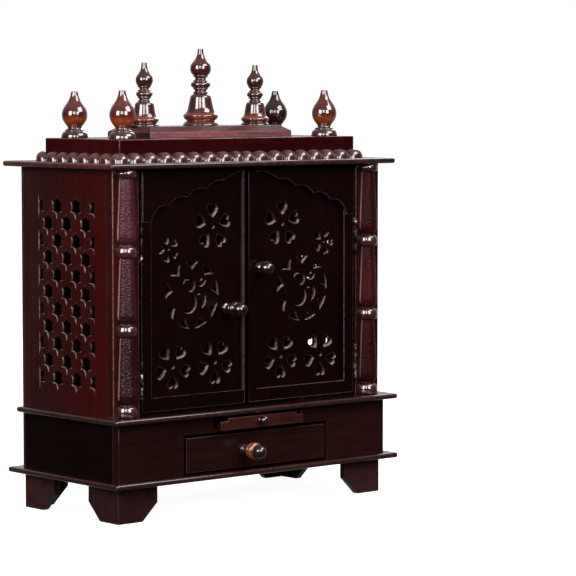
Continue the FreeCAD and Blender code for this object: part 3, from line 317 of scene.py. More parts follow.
# The lip's light base and edge colour paint the bright highlight strip along the meeting edge; the Y band paints shade
# deeper into the gap.
M["door_lip"] = lacquer("door_lip_lacquer", (0.034, 0.017, 0.0175), (0.062, 0.031, 0.032), (0.22, 0.13, 0.13), "Z", 0.24, 0.9,
                        0.10, 0.9, 0.3, level=0.6,
                        bands=(1, -0.11145, -0.09345, [(0.00, (1.0, 1.0, 1.0)), (0.24, (1.0, 1.0, 1.0)), (0.33, (0.16, 0.11, 0.11)),
                                          (1.00, (0.12, 0.08, 0.08))]))
M["knob"] = lacquer("knob_lacquer", (0.009, 0.0026, 0.0024), (0.024, 0.0066, 0.0055), (0.16, 0.06, 0.035), "Y", 0.12, 1.0,
                    0.04, 0.5, 0.25, level=0.9)
M["drawer_knob"] = lacquer("drawer_knob_lacquer", (0.075, 0.019, 0.0085), (0.14, 0.040, 0.018), (0.20, 0.08, 0.04), "Y", 0.12,
                           1.0, 0.03, 0.2, 0.25,
                           bands=(1, -0.175, -0.125, [(0.00, (0.22, 0.30, 0.5)), (0.33, (0.3, 0.4, 0.6)),
                                                      (0.38, (2.2, 2.1, 1.6)), (0.70, (1.9, 1.8, 1.4)),
                                                      (0.76, (0.3, 0.35, 0.5)), (1.0, (0.25, 0.3, 0.45))]))
M["plinth_top"] = lacquer("plinth_top_lacquer", (0.030, 0.0088, 0.0108), (0.070, 0.0230, 0.0265), (0.20, 0.09, 0.08), "X", 0.34,
                          0.05, 0.3, 0.5, 0.4, level=0.06)
M["plinth"] = lacquer("plinth_lacquer", (0.10, 0.030, 0.031), (0.25, 0.086, 0.088), (0.24, 0.11, 0.10), "X", 0.34, 0.1, 0.3,
                      0.35, 0.5, 0.0, 1.6, level=0.3)
M["tray"] = lacquer("tray_lacquer", (0.026, 0.0054, 0.0046), (0.052, 0.0110, 0.0090), (0.24, 0.12, 0.10), "X", 0.26, 0.15, 0.16,
                    0.35, level=0.25)
M["inner"] = lacquer("inner_wood", (0.060, 0.022, 0.013), (0.125, 0.052, 0.030), (0.18, 0.085, 0.05), "Y", 0.55, 0.0, 0.3,
                     0.25, 0.4, 0.0, 1.4)
M["back"] = lacquer("back_board", (0.024, 0.0070, 0.0060), (0.050, 0.0145, 0.0120), (0.08, 0.034, 0.028), "Z", 0.4, 0.05, 0.3,
                    0.3, level=0.3)
M["steel"] = hinge_steel("hinge_metal")

SLOT = {"dark_x": "dark_lacquer", "dark_y": "dark_lacquer", "dark_z": "dark_lacquer", "slab": "dark_lacquer",
        "crown": "dark_lacquer", "plinth": "dark_lacquer", "plinth_top": "dark_lacquer", "reveal_shade": "red_brown_side", "back": "dark_lacquer", "side": "red_brown_side",
        "low_side": "dark_lacquer", "feet": "dark_lacquer", "column_r": "turned_lacquer", "column_ring": "turned_lacquer", "column_rim_highlight": "turned_lacquer", "slab_top_lit": "dark_lacquer", "stile": "dark_lacquer",
        "turned": "turned_lacquer", "turned_shaded": "turned_lacquer", "column": "turned_lacquer", "finial": "turned_lacquer", "bead": "turned_lacquer",
        "knob": "turned_lacquer", "drawer_knob": "turned_lacquer", "door": "door_lacquer", "door_lip": "door_lacquer", "tray": "tray_wood",
        "inner": "inner_wood", "steel": "hinge_metal"}


# ------------------------------------------------------------------ mesh tools
def finish_mesh(bm, name, body, mat, reps=(), angle=32.0, flat_area=None, keep_normals=False):
    """Writes a mesh, smooth-shaded with sharp edges above the given angle, and puts it on its body with its material
    and finish slot.
    """
    if not keep_normals:
        bmesh.ops.recalc_face_normals(bm, faces=bm.faces)
    me = bpy.data.meshes.new(name)
    bm.to_mesh(me)
    bm.free()
    for p in me.polygons:
        p.use_smooth = True
    me.set_sharp_from_angle(angle=math.radians(angle))
    ob = bpy.data.objects.new(name, me)
    bpy.context.scene.collection.objects.link(ob)
    me.materials.append(M[mat])
    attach(ob, body)
    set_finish(ob, SLOT[mat])
    if reps:
        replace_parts(ob, *reps)
    return ob


def wear_and_highlight_from_bevels(me, flat_area):
    """Mask of wear and painted highlight: 1 on the roundings between large flat faces, 0 on those faces."""
    at = me.attributes.new("wear_and_highlight", "FLOAT", "CORNER")
    for p in me.polygons:
        w = 0.0 if p.area > flat_area else 1.0
        for k in p.loop_indices:
            at.data[k].value = w


def flat_big(ob, flat_area):
    """Big faces keep their own flat shading, so that only the roundings shade softly."""
    me = ob.data
    for p in me.polygons:
        if p.area > flat_area:
            p.use_smooth = False


def rbox(name, body, mat, x0, x1, y0, y1, z0, z1, r=1.0, seg=3, reps=()):
    """Board with rounded edges, in mm, with depths counted like the CAD's."""
    bm = bmesh.new()
    bmesh.ops.create_cube(bm, size=1.0)
    a, b = P(x0, y0, z0), P(x1, y1, z1)
    c, d = (a + b) / 2, b - a
    for v in bm.verts:
        v.co = Vector((c.x + v.co.x * d.x, c.y + v.co.y * d.y, c.z + v.co.z * d.z))
    bmesh.ops.bevel(bm, geom=bm.edges[:], offset=r * MM, segments=seg, profile=0.5, affect="EDGES")
    ob = finish_mesh(bm, name, body, mat, reps, 50)
    lim = (2.5 * r * MM) * max(d.x, d.y, d.z) * 0.5
    small = sorted([d.x * d.y, d.y * d.z, d.x * d.z])[0] * 0.5
    lim = min(lim, small)
    wear_and_highlight_from_bevels(ob.data, lim)
    flat_big(ob, lim)
    return ob


def node_box(node, body, mat, r=0.8, seg=3, name=None):
    lo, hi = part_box(node)
    return rbox(name or node, body, mat, lo.x / MM, hi.x / MM, lo.y / MM - FY, hi.y / MM - FY, lo.z / MM, hi.z / MM, r, seg,
                (node,))


def plate(name, body, mat, loops, plane, w0, w1, bevel=0.8, seg=3, reps=(), wear_and_highlight=True):
    """Flat board cut from outlines (the first is the outer one, the others are holes), with
    rounded edges round every hole. plane XZ: outline is (x, z) and w is depth. plane YZ:
    outline is (y, z) and w is x."""
    cu = bpy.data.curves.new(name + "_outline", "CURVE")
    cu.dimensions = "2D"
    cu.fill_mode = "BOTH"
    cu.extrude = max(abs(w1 - w0) / 2 - bevel, 0.0) * MM
    cu.bevel_depth = bevel * MM
    cu.bevel_resolution = seg - 1
    cu.offset = -bevel * MM
    for lp in loops:
        sp = cu.splines.new("POLY")
        sp.points.add(len(lp) - 1)
        for i, q in enumerate(lp):
            sp.points[i].co = (q[0] * MM, q[1] * MM, 0.0, 1.0)
        sp.use_cyclic_u = True
    tmp = bpy.data.objects.new(name + "_tmp", cu)
    me = bpy.data.meshes.new_from_object(tmp)
    bpy.data.objects.remove(tmp)
    bpy.data.curves.remove(cu)
    bm = bmesh.new()
    bm.from_mesh(me)
    bpy.data.meshes.remove(me)
    bmesh.ops.remove_doubles(bm, verts=bm.verts[:], dist=2e-6)
    mid = (w0 + w1) / 2
    for v in bm.verts:
        if plane == "XZ":
            v.co = Vector((v.co.x, (mid + FY) * MM - v.co.z, v.co.y))
        else:
            v.co = Vector((mid * MM + v.co.z, v.co.x + FY * MM, v.co.y))
    bmesh.ops.recalc_face_normals(bm, faces=bm.faces)
    ax = 1 if plane == "XZ" else 0
    turn = [(abs(f.normal[ax]), lit_share(f.normal, plane)) for f in bm.faces]
    ob = finish_mesh(bm, name, body, mat, reps, 40, keep_normals=True)
    # Edge mask of wear and painted highlight, strongest on roundings that turn up or to the left, towards the light.
    at = ob.data.attributes.new("wear_and_highlight", "FLOAT", "CORNER")
    for p, (n, w) in zip(ob.data.polygons, turn):
        if n > 0.9995:
            p.use_smooth = False
        for k in p.loop_indices:
            at.data[k].value = 0.18 + 0.62 * w if (wear_and_highlight and 0.12 < n < 0.985) else 0.0
    return ob


def lit_share(n, plane):
    """Share of the painted highlight on a small face: most where it turns up or to the left of
    its board, towards the light, little where it turns down into shade."""
    d = (-0.60 * n.x if plane == "XZ" else -0.60 * n.y) + 0.80 * n.z
    return max(0.10, min(1.0, 1.5 * d))


def shrink(loop, k):
    """The outline drawn in towards its own middle."""
    n = float(len(loop))
    cx, cz = sum(q[0] for q in loop) / n, sum(q[1] for q in loop) / n
    return [(cx + (q[0] - cx) * k, cz + (q[1] - cz) * k) for q in loop]


def rounded(loop, k):
    """The outline drawn in, with its tips drawn in more than its hollows."""
    n = float(len(loop))
    cx, cz = sum(q[0] for q in loop) / n, sum(q[1] for q in loop) / n
    rs = [math.hypot(q[0] - cx, q[1] - cz) for q in loop]
    mean = sum(rs) / n
    return [(cx + (q[0] - cx) * k * (0.58 + 0.42 * mean / r), cz + (q[1] - cz) * k * (0.58 + 0.42 * mean / r))
            for q, r in zip(loop, rs)]


def pierced(name, body, mat, outer, holes, plane, front, back, deep, reps=(), worn_and_lit=0.35):
    """Board with fretwork: every opening is a pair of outlines, the wide one on the show face
    and the narrow one behind, with a worked round-over between them."""
    step = -1.0 if back < front else 1.0

    def at(q, w):
        return P(q[0], w, q[1]) if plane == "XZ" else P(w, q[0], q[1])

    bm = bmesh.new()
    kinds = []
    rings = [[[bm.verts.new(at(q, w)) for q in outer] for w in (front, back)]]
    steps = 5
    for wide, narrow in holes:
        rr = []
        for i in range(steps + 1):
            t = 0.5 * math.pi * i / steps
            a = math.sin(t)
            rr.append([bm.verts.new(at((u[0] + (v[0] - u[0]) * a, u[1] + (v[1] - u[1]) * a),
                                       front + step * deep * (1.0 - math.cos(t)))) for u, v in zip(wide, narrow)])
        rr.append([bm.verts.new(at(v, back)) for v in narrow])
        rings.append(rr)
    for end in (0, -1):
        flat = [v for r in rings for v in r[end]]
        for tri in tessellate_polygon([[v.co for v in r[end]] for r in rings]):
            try:
                bm.faces.new([flat[i] for i in tri])
                kinds.append(0)
            except ValueError:
                pass
    for r in rings:
        for j, (a, b) in enumerate(zip(r, r[1:])):
            n = len(a)
            for k in range(n):
                bm.faces.new((a[k], a[(k + 1) % n], b[(k + 1) % n], b[k]))
                kinds.append(0 if r is rings[0] else 1 + j)
    bmesh.ops.recalc_face_normals(bm, faces=bm.faces)
    turn = [lit_share(f.normal, plane) for f in bm.faces]
    ob = finish_mesh(bm, name, body, mat, reps, 46, keep_normals=True)
    # Round-over mask of wear and painted highlight, strongest where it turns towards the light; the deeper walls of the
    # side lattices take a near-black lacquer as painted shade inside the openings.
    lay = ob.data.attributes.new("wear_and_highlight", "FLOAT", "CORNER")
    share = (0.0,) + ((0.6, 1.0, 0.85, 0.35, 0.12) if mat == "side" else (0.7, 1.0, 1.0, 0.7, 0.3)) + (0.05,)
    if mat == "side":
        ob.data.materials.append(M["reveal_shade"])
    for p, kind, w in zip(ob.data.polygons, kinds, turn):
        p.use_smooth = kind > 0
        if mat == "side" and kind > 3:
            p.material_index = 1
        for k in p.loop_indices:
            lay.data[k].value = worn_and_lit * w * share[kind]
    return ob


def crom(points, steps=4, closed=False):
    """Catmull-Rom through points of any length."""
    out = []
    n = len(points)
    last = n if closed else n - 1
    for i in range(last):
        p0 = points[(i - 1) % n] if closed else points[max(i - 1, 0)]
        p1, p2 = points[i], points[(i + 1) % n]
        p3 = points[(i + 2) % n] if closed else points[min(i + 2, n - 1)]
        for s in range(steps):
            t = s / float(steps)
            out.append(tuple(0.5 * (2 * b + (c - a) * t + (2 * a - 5 * b + 4 * c - d) * t * t
                                    + (-a + 3 * b - 3 * c + d) * t ** 3)
                             for a, b, c, d in zip(p0, p1, p2, p3)))
    if not closed:
        out.append(tuple(points[-1]))
    return out


def lathe(name, body, mat, prof, cx, cy, cz, axis="Z", seg=72, steps=4, reps=(), flat_back=None, wear_and_highlight=None):
    """Turned piece: prof is (radius, height) in mm. axis Z stands up, axis -Y points to the
    front. flat_back clamps depth behind the axis, for a half-round piece on a board."""
    prof = crom(prof, steps) if steps > 1 else list(prof)
    bm = bmesh.new()
    lay = bm.verts.layers.float.new("wear_and_highlight")
    rings = []

    def put(r, h, a):
        u, w = r * math.cos(a), r * math.sin(a)
        if axis == "Z":
            y = cy + w
            if flat_back is not None:
                y = min(y, cy + flat_back)
            return P(cx + u, y, cz + h)
        return P(cx + u, cy - h, cz + w)

    rmax = max(r for r, h in prof)
    for i, (r, h) in enumerate(prof):
        r = max(r, 0.05)
        ring = []
        for k in range(seg):
            v = bm.verts.new(put(r, h, 2 * math.pi * k / seg))
            if wear_and_highlight is not None:
                a, b = prof[max(i - 1, 0)], prof[min(i + 1, len(prof) - 1)]
                bulge = r - 0.5 * (a[0] + b[0])
                v[lay] = min(1.0, max(0.0, bulge * wear_and_highlight))
            ring.append(v)
        rings.append(ring)
    for a, b in zip(rings, rings[1:]):
        for k in range(seg):
            bm.faces.new((a[k], a[(k + 1) % seg], b[(k + 1) % seg], b[k]))
    bm.faces.new(rings[0][::-1])
    bm.faces.new(rings[-1])
    return finish_mesh(bm, name, body, mat, reps, 60)


def loft(name, body, mat, rings, bevel=0.0, seg=3, reps=(), flat=60e-6):
    """Closed solid through polygons of the same length, listed as mm points."""
    bm = bmesh.new()
    vs = [[bm.verts.new(P(*q)) for q in ring] for ring in rings]
    n = len(rings[0])
    for a, b in zip(vs, vs[1:]):
        for k in range(n):
            bm.faces.new((a[k], a[(k + 1) % n], b[(k + 1) % n], b[k]))
    bm.faces.new(vs[0][::-1])
    bm.faces.new(vs[-1])
    bmesh.ops.recalc_face_normals(bm, faces=bm.faces)
    if bevel:
        sharp = [e for e in bm.edges if len(e.link_faces) == 2 and e.calc_face_angle(0.0) > math.radians(12)]
        bmesh.ops.bevel(bm, geom=sharp, offset=bevel * MM, segments=seg, profile=0.5, affect="EDGES")
    ob = finish_mesh(bm, name, body, mat, reps, 50)
    wear_and_highlight_from_bevels(ob.data, flat)
    flat_big(ob, flat)
    return ob


def join(name, obs):
    """One piece out of several meshes on the same body, its parts kept apart as islands."""
    bm = bmesh.new()
    mats = []
    for o in obs:
        for m in o.data.materials:
            if m not in mats:
                mats.append(m)
    for o in obs:
        me = o.data.copy()
        remap = [mats.index(m) for m in o.data.materials]
        for p in me.polygons:
            p.material_index = remap[p.material_index]
        bm.from_mesh(me)
        bpy.data.meshes.remove(me)
    me = bpy.data.meshes.new(name)
    bm.to_mesh(me)
    bm.free()
    for m in mats:
        me.materials.append(m)
    first = obs[0]
    reps = []
    for o in obs:
        reps += list(o.get("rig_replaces", []))
    ob = bpy.data.objects.new(name, me)
    bpy.context.scene.collection.objects.link(ob)
    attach(ob, first["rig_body"])
    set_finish(ob, first["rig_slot"])
    if reps:
        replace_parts(ob, *reps)
    for o in obs:
        old = o.data
        bpy.data.objects.remove(o)
        bpy.data.meshes.remove(old)
    ob.name = name
    return ob


# ------------------------------------------------------------------ slabs and carcass
def slab(name, y0, y1, z0, mat="slab"):
    return rbox(name, "cabinet", mat, -305, 305, y0, y1, z0, z0 + 9.0, 3.7, 5, (name,))


slab("base_slab", -150.0, 150.0, 59.0)
slab("middle_slab", -149.0, 125.0, 161.5)
# The top slab's ends and top take the lit copy, painted light; its front and back keep the plain slab lacquer.
top = slab("top_slab", -141.5, 159.5, 567.5, "slab_top_lit")
top.data.materials.append(M["slab"])
for p in top.data.polygons:
    if abs(p.normal.y) > 0.35:
        p.material_index = 1

FOOT = [(0.0, 49.5), (29.5, 80.0), (59.0, 80.0)]
feet = []
for tag, sx, sy in (("fl", -1, -1), ("fr", 1, -1), ("rl", -1, 1), ("rr", 1, 1)):
    xo = 283.0 * sx
    yo = -124.0 if sy < 0 else 131.0
    rings = []
    for z, reach in FOOT:
        t = 12.0
        plan = [(0, 0), (reach, 0), (reach, t), (t, t), (t, reach), (0, reach)]
        rings.append([(xo - sx * a, yo - sy * b, z) for a, b in plan])
    feet.append(loft("foot_" + tag, "cabinet", "feet", rings, 0.9, 3))
feet = join("feet_carved", feet)
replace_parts(feet, "feet")

front = [(-287, 68), (-154, 68), (-154, 133.5), (156, 133.5), (156, 68), (287, 68), (287, 161.5), (98, 161.5), (98, 138.5),
         (-91, 138.5), (-91, 161.5), (-287, 161.5)]
plate("front_board", "cabinet", "dark_x", [front], "XZ", LOW_FRONT, LOW_FRONT + 17, 0.9, 3, ("front_board",))
node_box("lower_side_left", "cabinet", "low_side", 0.6)
node_box("lower_side_right", "cabinet", "low_side", 0.6)
node_box("back_panel", "cabinet", "back", 0.6)
node_box("drawer_deck", "cabinet", "inner", 0.4)
node_box("stile_left", "cabinet", "stile", 1.4)
node_box("stile_right", "cabinet", "dark_z", 1.4)

# ------------------------------------------------------------------ lattice sides
STAR = [(0.0, 17.5), (1.7, 12.4), (4.6, 9.0), (9.4, 8.4), (14.2, 7.0), (11.4, 3.2), (10.8, -1.4),
        (12.2, -6.0), (15.4, -10.4), (9.6, -10.8), (4.6, -12.0), (1.9, -16.0), (0.0, -23.8)]
TIPS = (0, 4, 8, 12)


def star_loop():
    """The lattice opening: four tips kept sharp, with soft curves between them."""
    half = []
    for a, b in zip(TIPS, TIPS[1:]):
        half += crom(STAR[a:b + 1], 3)[:-1]
    half.append(STAR[-1])
    return half + [(-x, y) for x, y in reversed(half[1:-1])]


def clip_side(pts, side):
    """The part of an outline on one side of its middle line."""
    out = []
    n = len(pts)
    for i in range(n):
        a, b = pts[i], pts[(i + 1) % n]
        ina, inb = side * a[0] >= -1e-9, side * b[0] >= -1e-9
        if ina:
            out.append(a)
        if ina != inb:
            t = a[0] / (a[0] - b[0])
            out.append((0.0, a[1] + t * (b[1] - a[1])))
    clean = []
    for q in out:
        if not clean or math.hypot(q[0] - clean[-1][0], q[1] - clean[-1][1]) > 0.05:
            clean.append(q)
    if math.hypot(clean[0][0] - clean[-1][0], clean[0][1] - clean[-1][1]) < 0.05:
        clean.pop()
    return clean


def lattice(name, sx):
    outer = [(-99.5, Z_UP), (125.0, Z_UP), (125.0, Z_TOP), (-99.5, Z_TOP)]
    loops, pairs = [], []
    star = star_loop()
    py, pz, yc, zt = 51.0, 56.2, 7.0, 505.9
    for r in range(6):
        z = zt - r * pz
        for c in (-0.5, 0.5):
            pairs.append([(yc + c * py + q[0], z + q[1]) for q in star])
        loops.append([(yc + 1.5 * py + q[0], z + q[1]) for q in clip_side(star, -1)])
        loops.append([(yc - 1.5 * py + q[0], z + q[1]) for q in clip_side(star, 1)])
    for r in range(5):
        z = zt - (r + 0.5) * pz
        for c in (-1, 0, 1):
            pairs.append([(yc + c * py + q[0], z + q[1]) for q in star])
    a, b = (286.6, 280.6) if sx > 0 else (-286.6, -280.6)
    return pierced(name, "cabinet", "side", outer, [(lp, shrink(lp, 0.86)) for lp in loops] + [(lp, rounded(lp, 0.86)) for lp in pairs],
                   "YZ", a, b, 3.0, (name,), 1.0)


lattice("side_left", -1)
lattice("side_right", 1)


# ------------------------------------------------------------------ turned columns
RINGS = [(170.5, 188.0), (300.5, 317.5), (427.0, 443.5), (554.0, 567.5)]


def column_profile():
    ring, shaft, neck = 18.2, 17.4, 12.4
    rings = RINGS
    prof = []

    def ring_pts(a, b):
        h = b - a
        return [(ring - 3.0, a), (ring - 1.4, a + 0.08 * h), (ring - 0.4, a + 0.26 * h), (ring, a + 0.45 * h),
                (ring - 0.2, a + 0.62 * h), (ring - 1.1, a + 0.82 * h), (ring - 1.9, a + 0.93 * h), (ring - 3.2, b)]
    for i in range(3):
        a, b = rings[i]
        c = rings[i + 1][0]
        prof += ring_pts(a, b)
        L = c - b
        prof += [(neck + 0.8, b + 0.5), (neck, b + 0.035 * L), (neck + 1.4, b + 0.055 * L), (neck + 3.6, b + 0.085 * L),
                 (shaft - 0.4, b + 0.125 * L), (shaft, b + 0.16 * L), (shaft - 0.3, b + 0.24 * L),
                 (shaft - 1.5, b + 0.45 * L), (shaft - 3.0, b + 0.7 * L), (neck + 0.7, b + 0.92 * L),
                 (neck, c - 0.3)]
    prof += ring_pts(*rings[3])
    return [(r, z - Z_UP) for r, z in prof]


# The right column takes the shaded copy of the column lacquer: painted shade.
for nm, sx in (("column_left", -1), ("column_right", 1)):
    col = lathe(nm, "cabinet", "column" if sx < 0 else "column_r", column_profile(), 260.3 * sx, UP_FRONT, Z_UP, "Z", 64, 3, (nm,),
                0.6, 1.6)
    col.data.materials.append(M["column_ring"])
    col.data.materials.append(M["column_rim_highlight"])
    for p in col.data.polygons:
        # Faces turned to the left take the painted rim highlight; the rings take the glossy ring lacquer.
        if p.normal.x < -0.975:
            p.material_index = 2
        if any(a - 0.5 < p.center.z / MM < b + 0.5 for a, b in RINGS):
            p.material_index = 1

# ------------------------------------------------------------------ crown
SPIRE = [(29.6, 0.0), (30.0, 0.8), (29.8, 2.0), (28.6, 3.8), (27.2, 5.6), (25.2, 7.2), (23.6, 8.4), (25.0, 9.6),
         (27.4, 11.2), (28.8, 13.4), (29.3, 15.6), (29.2, 17.4), (27.8, 19.0), (25.8, 20.8), (24.4, 22.4), (23.2, 24.6),
         (22.2, 27.4), (21.2, 31.0), (20.2, 35.4), (19.3, 39.6), (18.6, 43.2), (17.9, 46.2), (17.2, 48.8), (15.8, 51.0),
         (13.4, 52.8), (11.4, 53.8), (12.6, 55.0), (12.4, 56.4), (10.2, 57.6), (10.0, 59.2), (11.2, 60.6), (12.8, 61.8),
         (12.6, 63.2), (14.4, 64.6), (16.0, 66.4), (16.5, 68.8), (16.0, 71.2), (14.2, 72.8), (12.4, 73.8), (12.6, 75.6),
         (10.4, 76.8), (9.2, 78.8), (9.8, 80.8), (12.0, 81.9), (12.8, 83.2), (12.2, 84.4), (14.2, 86.2), (16.2, 89.2),
         (17.2, 92.2), (17.5, 95.6), (17.1, 99.4), (16.0, 102.8), (13.8, 105.8), (10.8, 109.2), (8.2, 113.2), (6.4, 117.4),
         (5.3, 121.4), (4.9, 125.0), (4.7, 127.6), (4.4, 129.0)]
SIDE_SPIRE = [(24.2, 0.0), (24.4, 0.8), (23.8, 2.2), (22.2, 3.6), (20.2, 4.8), (21.4, 6.2), (23.0, 7.8), (24.0, 9.6),
              (24.0, 11.4), (22.8, 13.0), (20.8, 14.6), (19.6, 16.4), (18.8, 18.8), (18.0, 21.8), (17.6, 25.4), (17.0, 29.0),
              (16.2, 32.8), (15.7, 35.8), (14.6, 38.2), (12.6, 39.8), (10.6, 40.8), (10.9, 42.4), (9.0, 43.4), (8.6, 45.0),
              (10.2, 46.4), (11.4, 47.6), (11.3, 49.0), (13.0, 50.4), (13.9, 52.6), (13.6, 54.8), (12.2, 56.6), (10.7, 57.8),
              (10.9, 59.2), (8.8, 60.4), (7.9, 62.2), (9.2, 63.8), (10.9, 65.0), (11.0, 66.4), (12.2, 68.4), (13.7, 71.6),
              (14.4, 75.0), (14.3, 78.6), (13.4, 81.6), (11.4, 84.8), (9.0, 88.2), (7.0, 91.6), (5.7, 95.0), (5.0, 99.0),
              (4.6, 103.0), (4.3, 105.2)]
for nm, x, outline, k in (("spire_centre", 0.0, SPIRE, 1.0), ("spire_left", -119.8, SIDE_SPIRE, 1.0),
                          ("spire_right", 119.8, SIDE_SPIRE, 0.975)):
    lathe(nm, "cabinet", "turned", [(r, h * k) for r, h in outline], x, 14.0, Z_CROWN + 19.0, "Z", 80, 4, (nm,), None, 4.0)

FINIAL = [(22.0, 0.0), (22.3, 1.4), (22.0, 3.6), (21.3, 6.0), (20.2, 8.2), (18.4, 10.2), (16.2, 11.6), (16.2, 13.0),
          (14.2, 14.6), (12.0, 15.8), (11.5, 17.4), (12.0, 19.0), (13.6, 21.0), (15.6, 23.6), (17.6, 26.6), (19.2, 29.4),
          (20.3, 32.2), (20.9, 35.2), (21.1, 38.4), (20.9, 41.8), (20.3, 44.8), (19.1, 48.0), (17.4, 51.6), (15.2, 55.0),
          (12.9, 58.4), (10.6, 61.8), (8.8, 65.4), (7.5, 69.0), (6.5, 72.6), (5.8, 76.0), (5.2, 78.2)]
fins = []
for tag, x, y in (("fl", -217.8, -54.3), ("fr", 217.8, -54.3), ("rl", -217.8, 75.3), ("rr", 217.8, 75.3)):
    k = 1.004 if tag[0] == "f" else 0.982
    # The rear right finial takes the shaded copy: painted shade.
    fins.append(lathe("finial_" + tag, "cabinet", "turned_shaded" if tag == "rr" else "finial", [(r, h * k) for r, h in FINIAL], x, y, Z_CROWN, "Z", 80, 4, (), None, 3.0))
fins = join("finials_turned", fins)
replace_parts(fins, "corner_finials")

rbox("crown_tier", "cabinet", "crown", -252.6, 252.6, -91.5, 110.0, Z_TIER, Z_CROWN, 1.4, 3, ("crown_rails", "crown_top"))


def rect_ring(hx, y0, y1, z):
    return [(-hx, y0, z), (hx, y0, z), (hx, y1, z), (-hx, y1, z)]


plinth = loft("spire_plinth", "cabinet", "plinth",
     [rect_ring(153.0, -43.5, 71.5, Z_CROWN), rect_ring(153.0, -43.5, 71.5, Z_CROWN + 10.0),
      rect_ring(139.0, -29.5, 57.5, Z_CROWN + 19.0)], 0.9, 3, ("spire_plinth",), 4e-4)
plinth.data.materials.append(M["plinth_top"])
for p in plinth.data.polygons:
    if abs(p.normal.y) < 0.95:
        p.material_index = 1

def bead_run(name, along_x, lo, hi, face, out, cuts):
    """Carved moulding: a run of separate shell-like lobes against a quarter-round core, each
    with a blunt left end, a crest and a falling right end."""
    parts = []

    def at(s, d, z):
        return P(s, face + out * d, Z_TIER + z) if along_x else P(face + out * d, s, Z_TIER + z)

    core = bmesh.new()
    arc = [(0.0, 0.0)] + [(9.2 * math.cos(0.5 * math.pi * i / 8), 10.0 * math.sin(0.5 * math.pi * i / 8)) for i in range(9)]
    ends = [[core.verts.new(at(s, d, z)) for d, z in arc] for s in (lo - 8.5, hi + 8.5)]
    for k in range(len(arc)):
        k2 = (k + 1) % len(arc)
        core.faces.new((ends[0][k], ends[0][k2], ends[1][k2], ends[1][k]))
    core.faces.new(ends[0][::-1])
    core.faces.new(ends[1])
    parts.append(finish_mesh(core, name + "_core", "cabinet", "bead", (), 50))
    bm = bmesh.new()
    lay = bm.verts.layers.float.new("wear_and_highlight")
    nu, nv = 18, 12
    for a, b in zip(cuts, cuts[1:]):
        rows = []
        for i in range(nu + 1):
            u = -math.cos(math.pi * i / nu)
            g = (1.0 - abs(u) ** 2.6) ** 0.5
            top = (16.0 - 3.4 * max(0.0, u) ** 1.4) * (0.28 + 0.72 * g)
            deep = 14.9 * (0.18 + 0.82 * (1.0 - abs(u) ** 2.3) ** 0.55)
            row = [bm.verts.new(at(0.5 * (a + b) + 0.5 * (b - a + 0.8) * u, 0.0, 0.0))]
            for j in range(nv + 1):
                t = 0.5 * math.pi * j / nv
                d, z = deep * math.cos(t) ** 0.78, top * math.sin(t) ** 0.78
                s = 0.5 * (a + b) + 0.5 * (b - a + 0.8) * u * (1.0 - 0.10 * math.sin(t)) + 0.22 * z
                s = max(lo - d, min(hi + d, s))
                v = bm.verts.new(at(s, d, z))
                v[lay] = 0.5 * g if 2 < j < nv - 1 else 0.0
                row.append(v)
            rows.append(row)
        n = nv + 2
        for p, q in zip(rows, rows[1:]):
            for k in range(n):
                bm.faces.new((p[k], p[(k + 1) % n], q[(k + 1) % n], q[k]))
        bm.faces.new(rows[0][::-1])
        bm.faces.new(rows[-1])
    parts.append(finish_mesh(bm, name, "cabinet", "bead", (), 62))
    return parts


FRONT_CUTS = [-267.3, -240.9, -210.2, -179.0, -148.6, -118.1, -87.9, -56.9, -25.3, -3.8, 21.6, 55.3, 86.0, 114.4, 143.1,
              173.1, 202.3, 232.8, 266.0]
SIDE_CUTS = [-106.0, -80.2, -51.2, -21.4, 8.4, 37.4, 65.0, 95.5, 123.5]
beads = (bead_run("bead_f", True, -252.6, 252.6, -91.5, -1, FRONT_CUTS)
         + bead_run("bead_b", True, -252.6, 252.6, 110.0, 1, FRONT_CUTS)
         + bead_run("bead_l", False, -91.5, 110.0, -252.6, -1, SIDE_CUTS)
         + bead_run("bead_r", False, -91.5, 110.0, 252.6, 1, SIDE_CUTS))
beads = join("bead_carving", beads)
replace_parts(beads, "bead_moulding")


# ------------------------------------------------------------------ doors
def heart(cx, cz, r0, r1, wide, ang):
    """Heart petal, its point at radius r0 and two lobes out to radius r1."""
    L = r1 - r0
    half = [(0.0, 0.0), (0.22 * wide, 0.2 * L), (0.40 * wide, 0.42 * L), (0.5 * wide, 0.64 * L), (0.49 * wide, 0.82 * L),
            (0.37 * wide, 0.96 * L), (0.24 * wide, 1.0 * L), (0.11 * wide, 0.95 * L), (0.0, 0.84 * L)]
    half = crom(half, 3)
    loop = half + [(-x, y) for x, y in reversed(half[1:-1])]
    a = math.radians(ang)
    ux, uz = math.cos(a), math.sin(a)
    return [(cx + (r0 + y) * ux - x * uz, cz + (r0 + y) * uz + x * ux) for x, y in loop]


def disc(cx, cz, r, n=20):
    return [(cx + r * math.cos(2 * math.pi * i / n), cz + r * math.sin(2 * math.pi * i / n)) for i in range(n)]


def flower(cx, cz, r, turn):
    petals = [heart(cx, cz, 0.36 * r, r, 0.62 * r, turn + 72 * i) for i in range(5)]
    return [(p, shrink(p, 0.70)) for p in petals] + [(c, shrink(c, 0.70)) for c in [disc(cx, cz, 0.11 * r, 16)]]


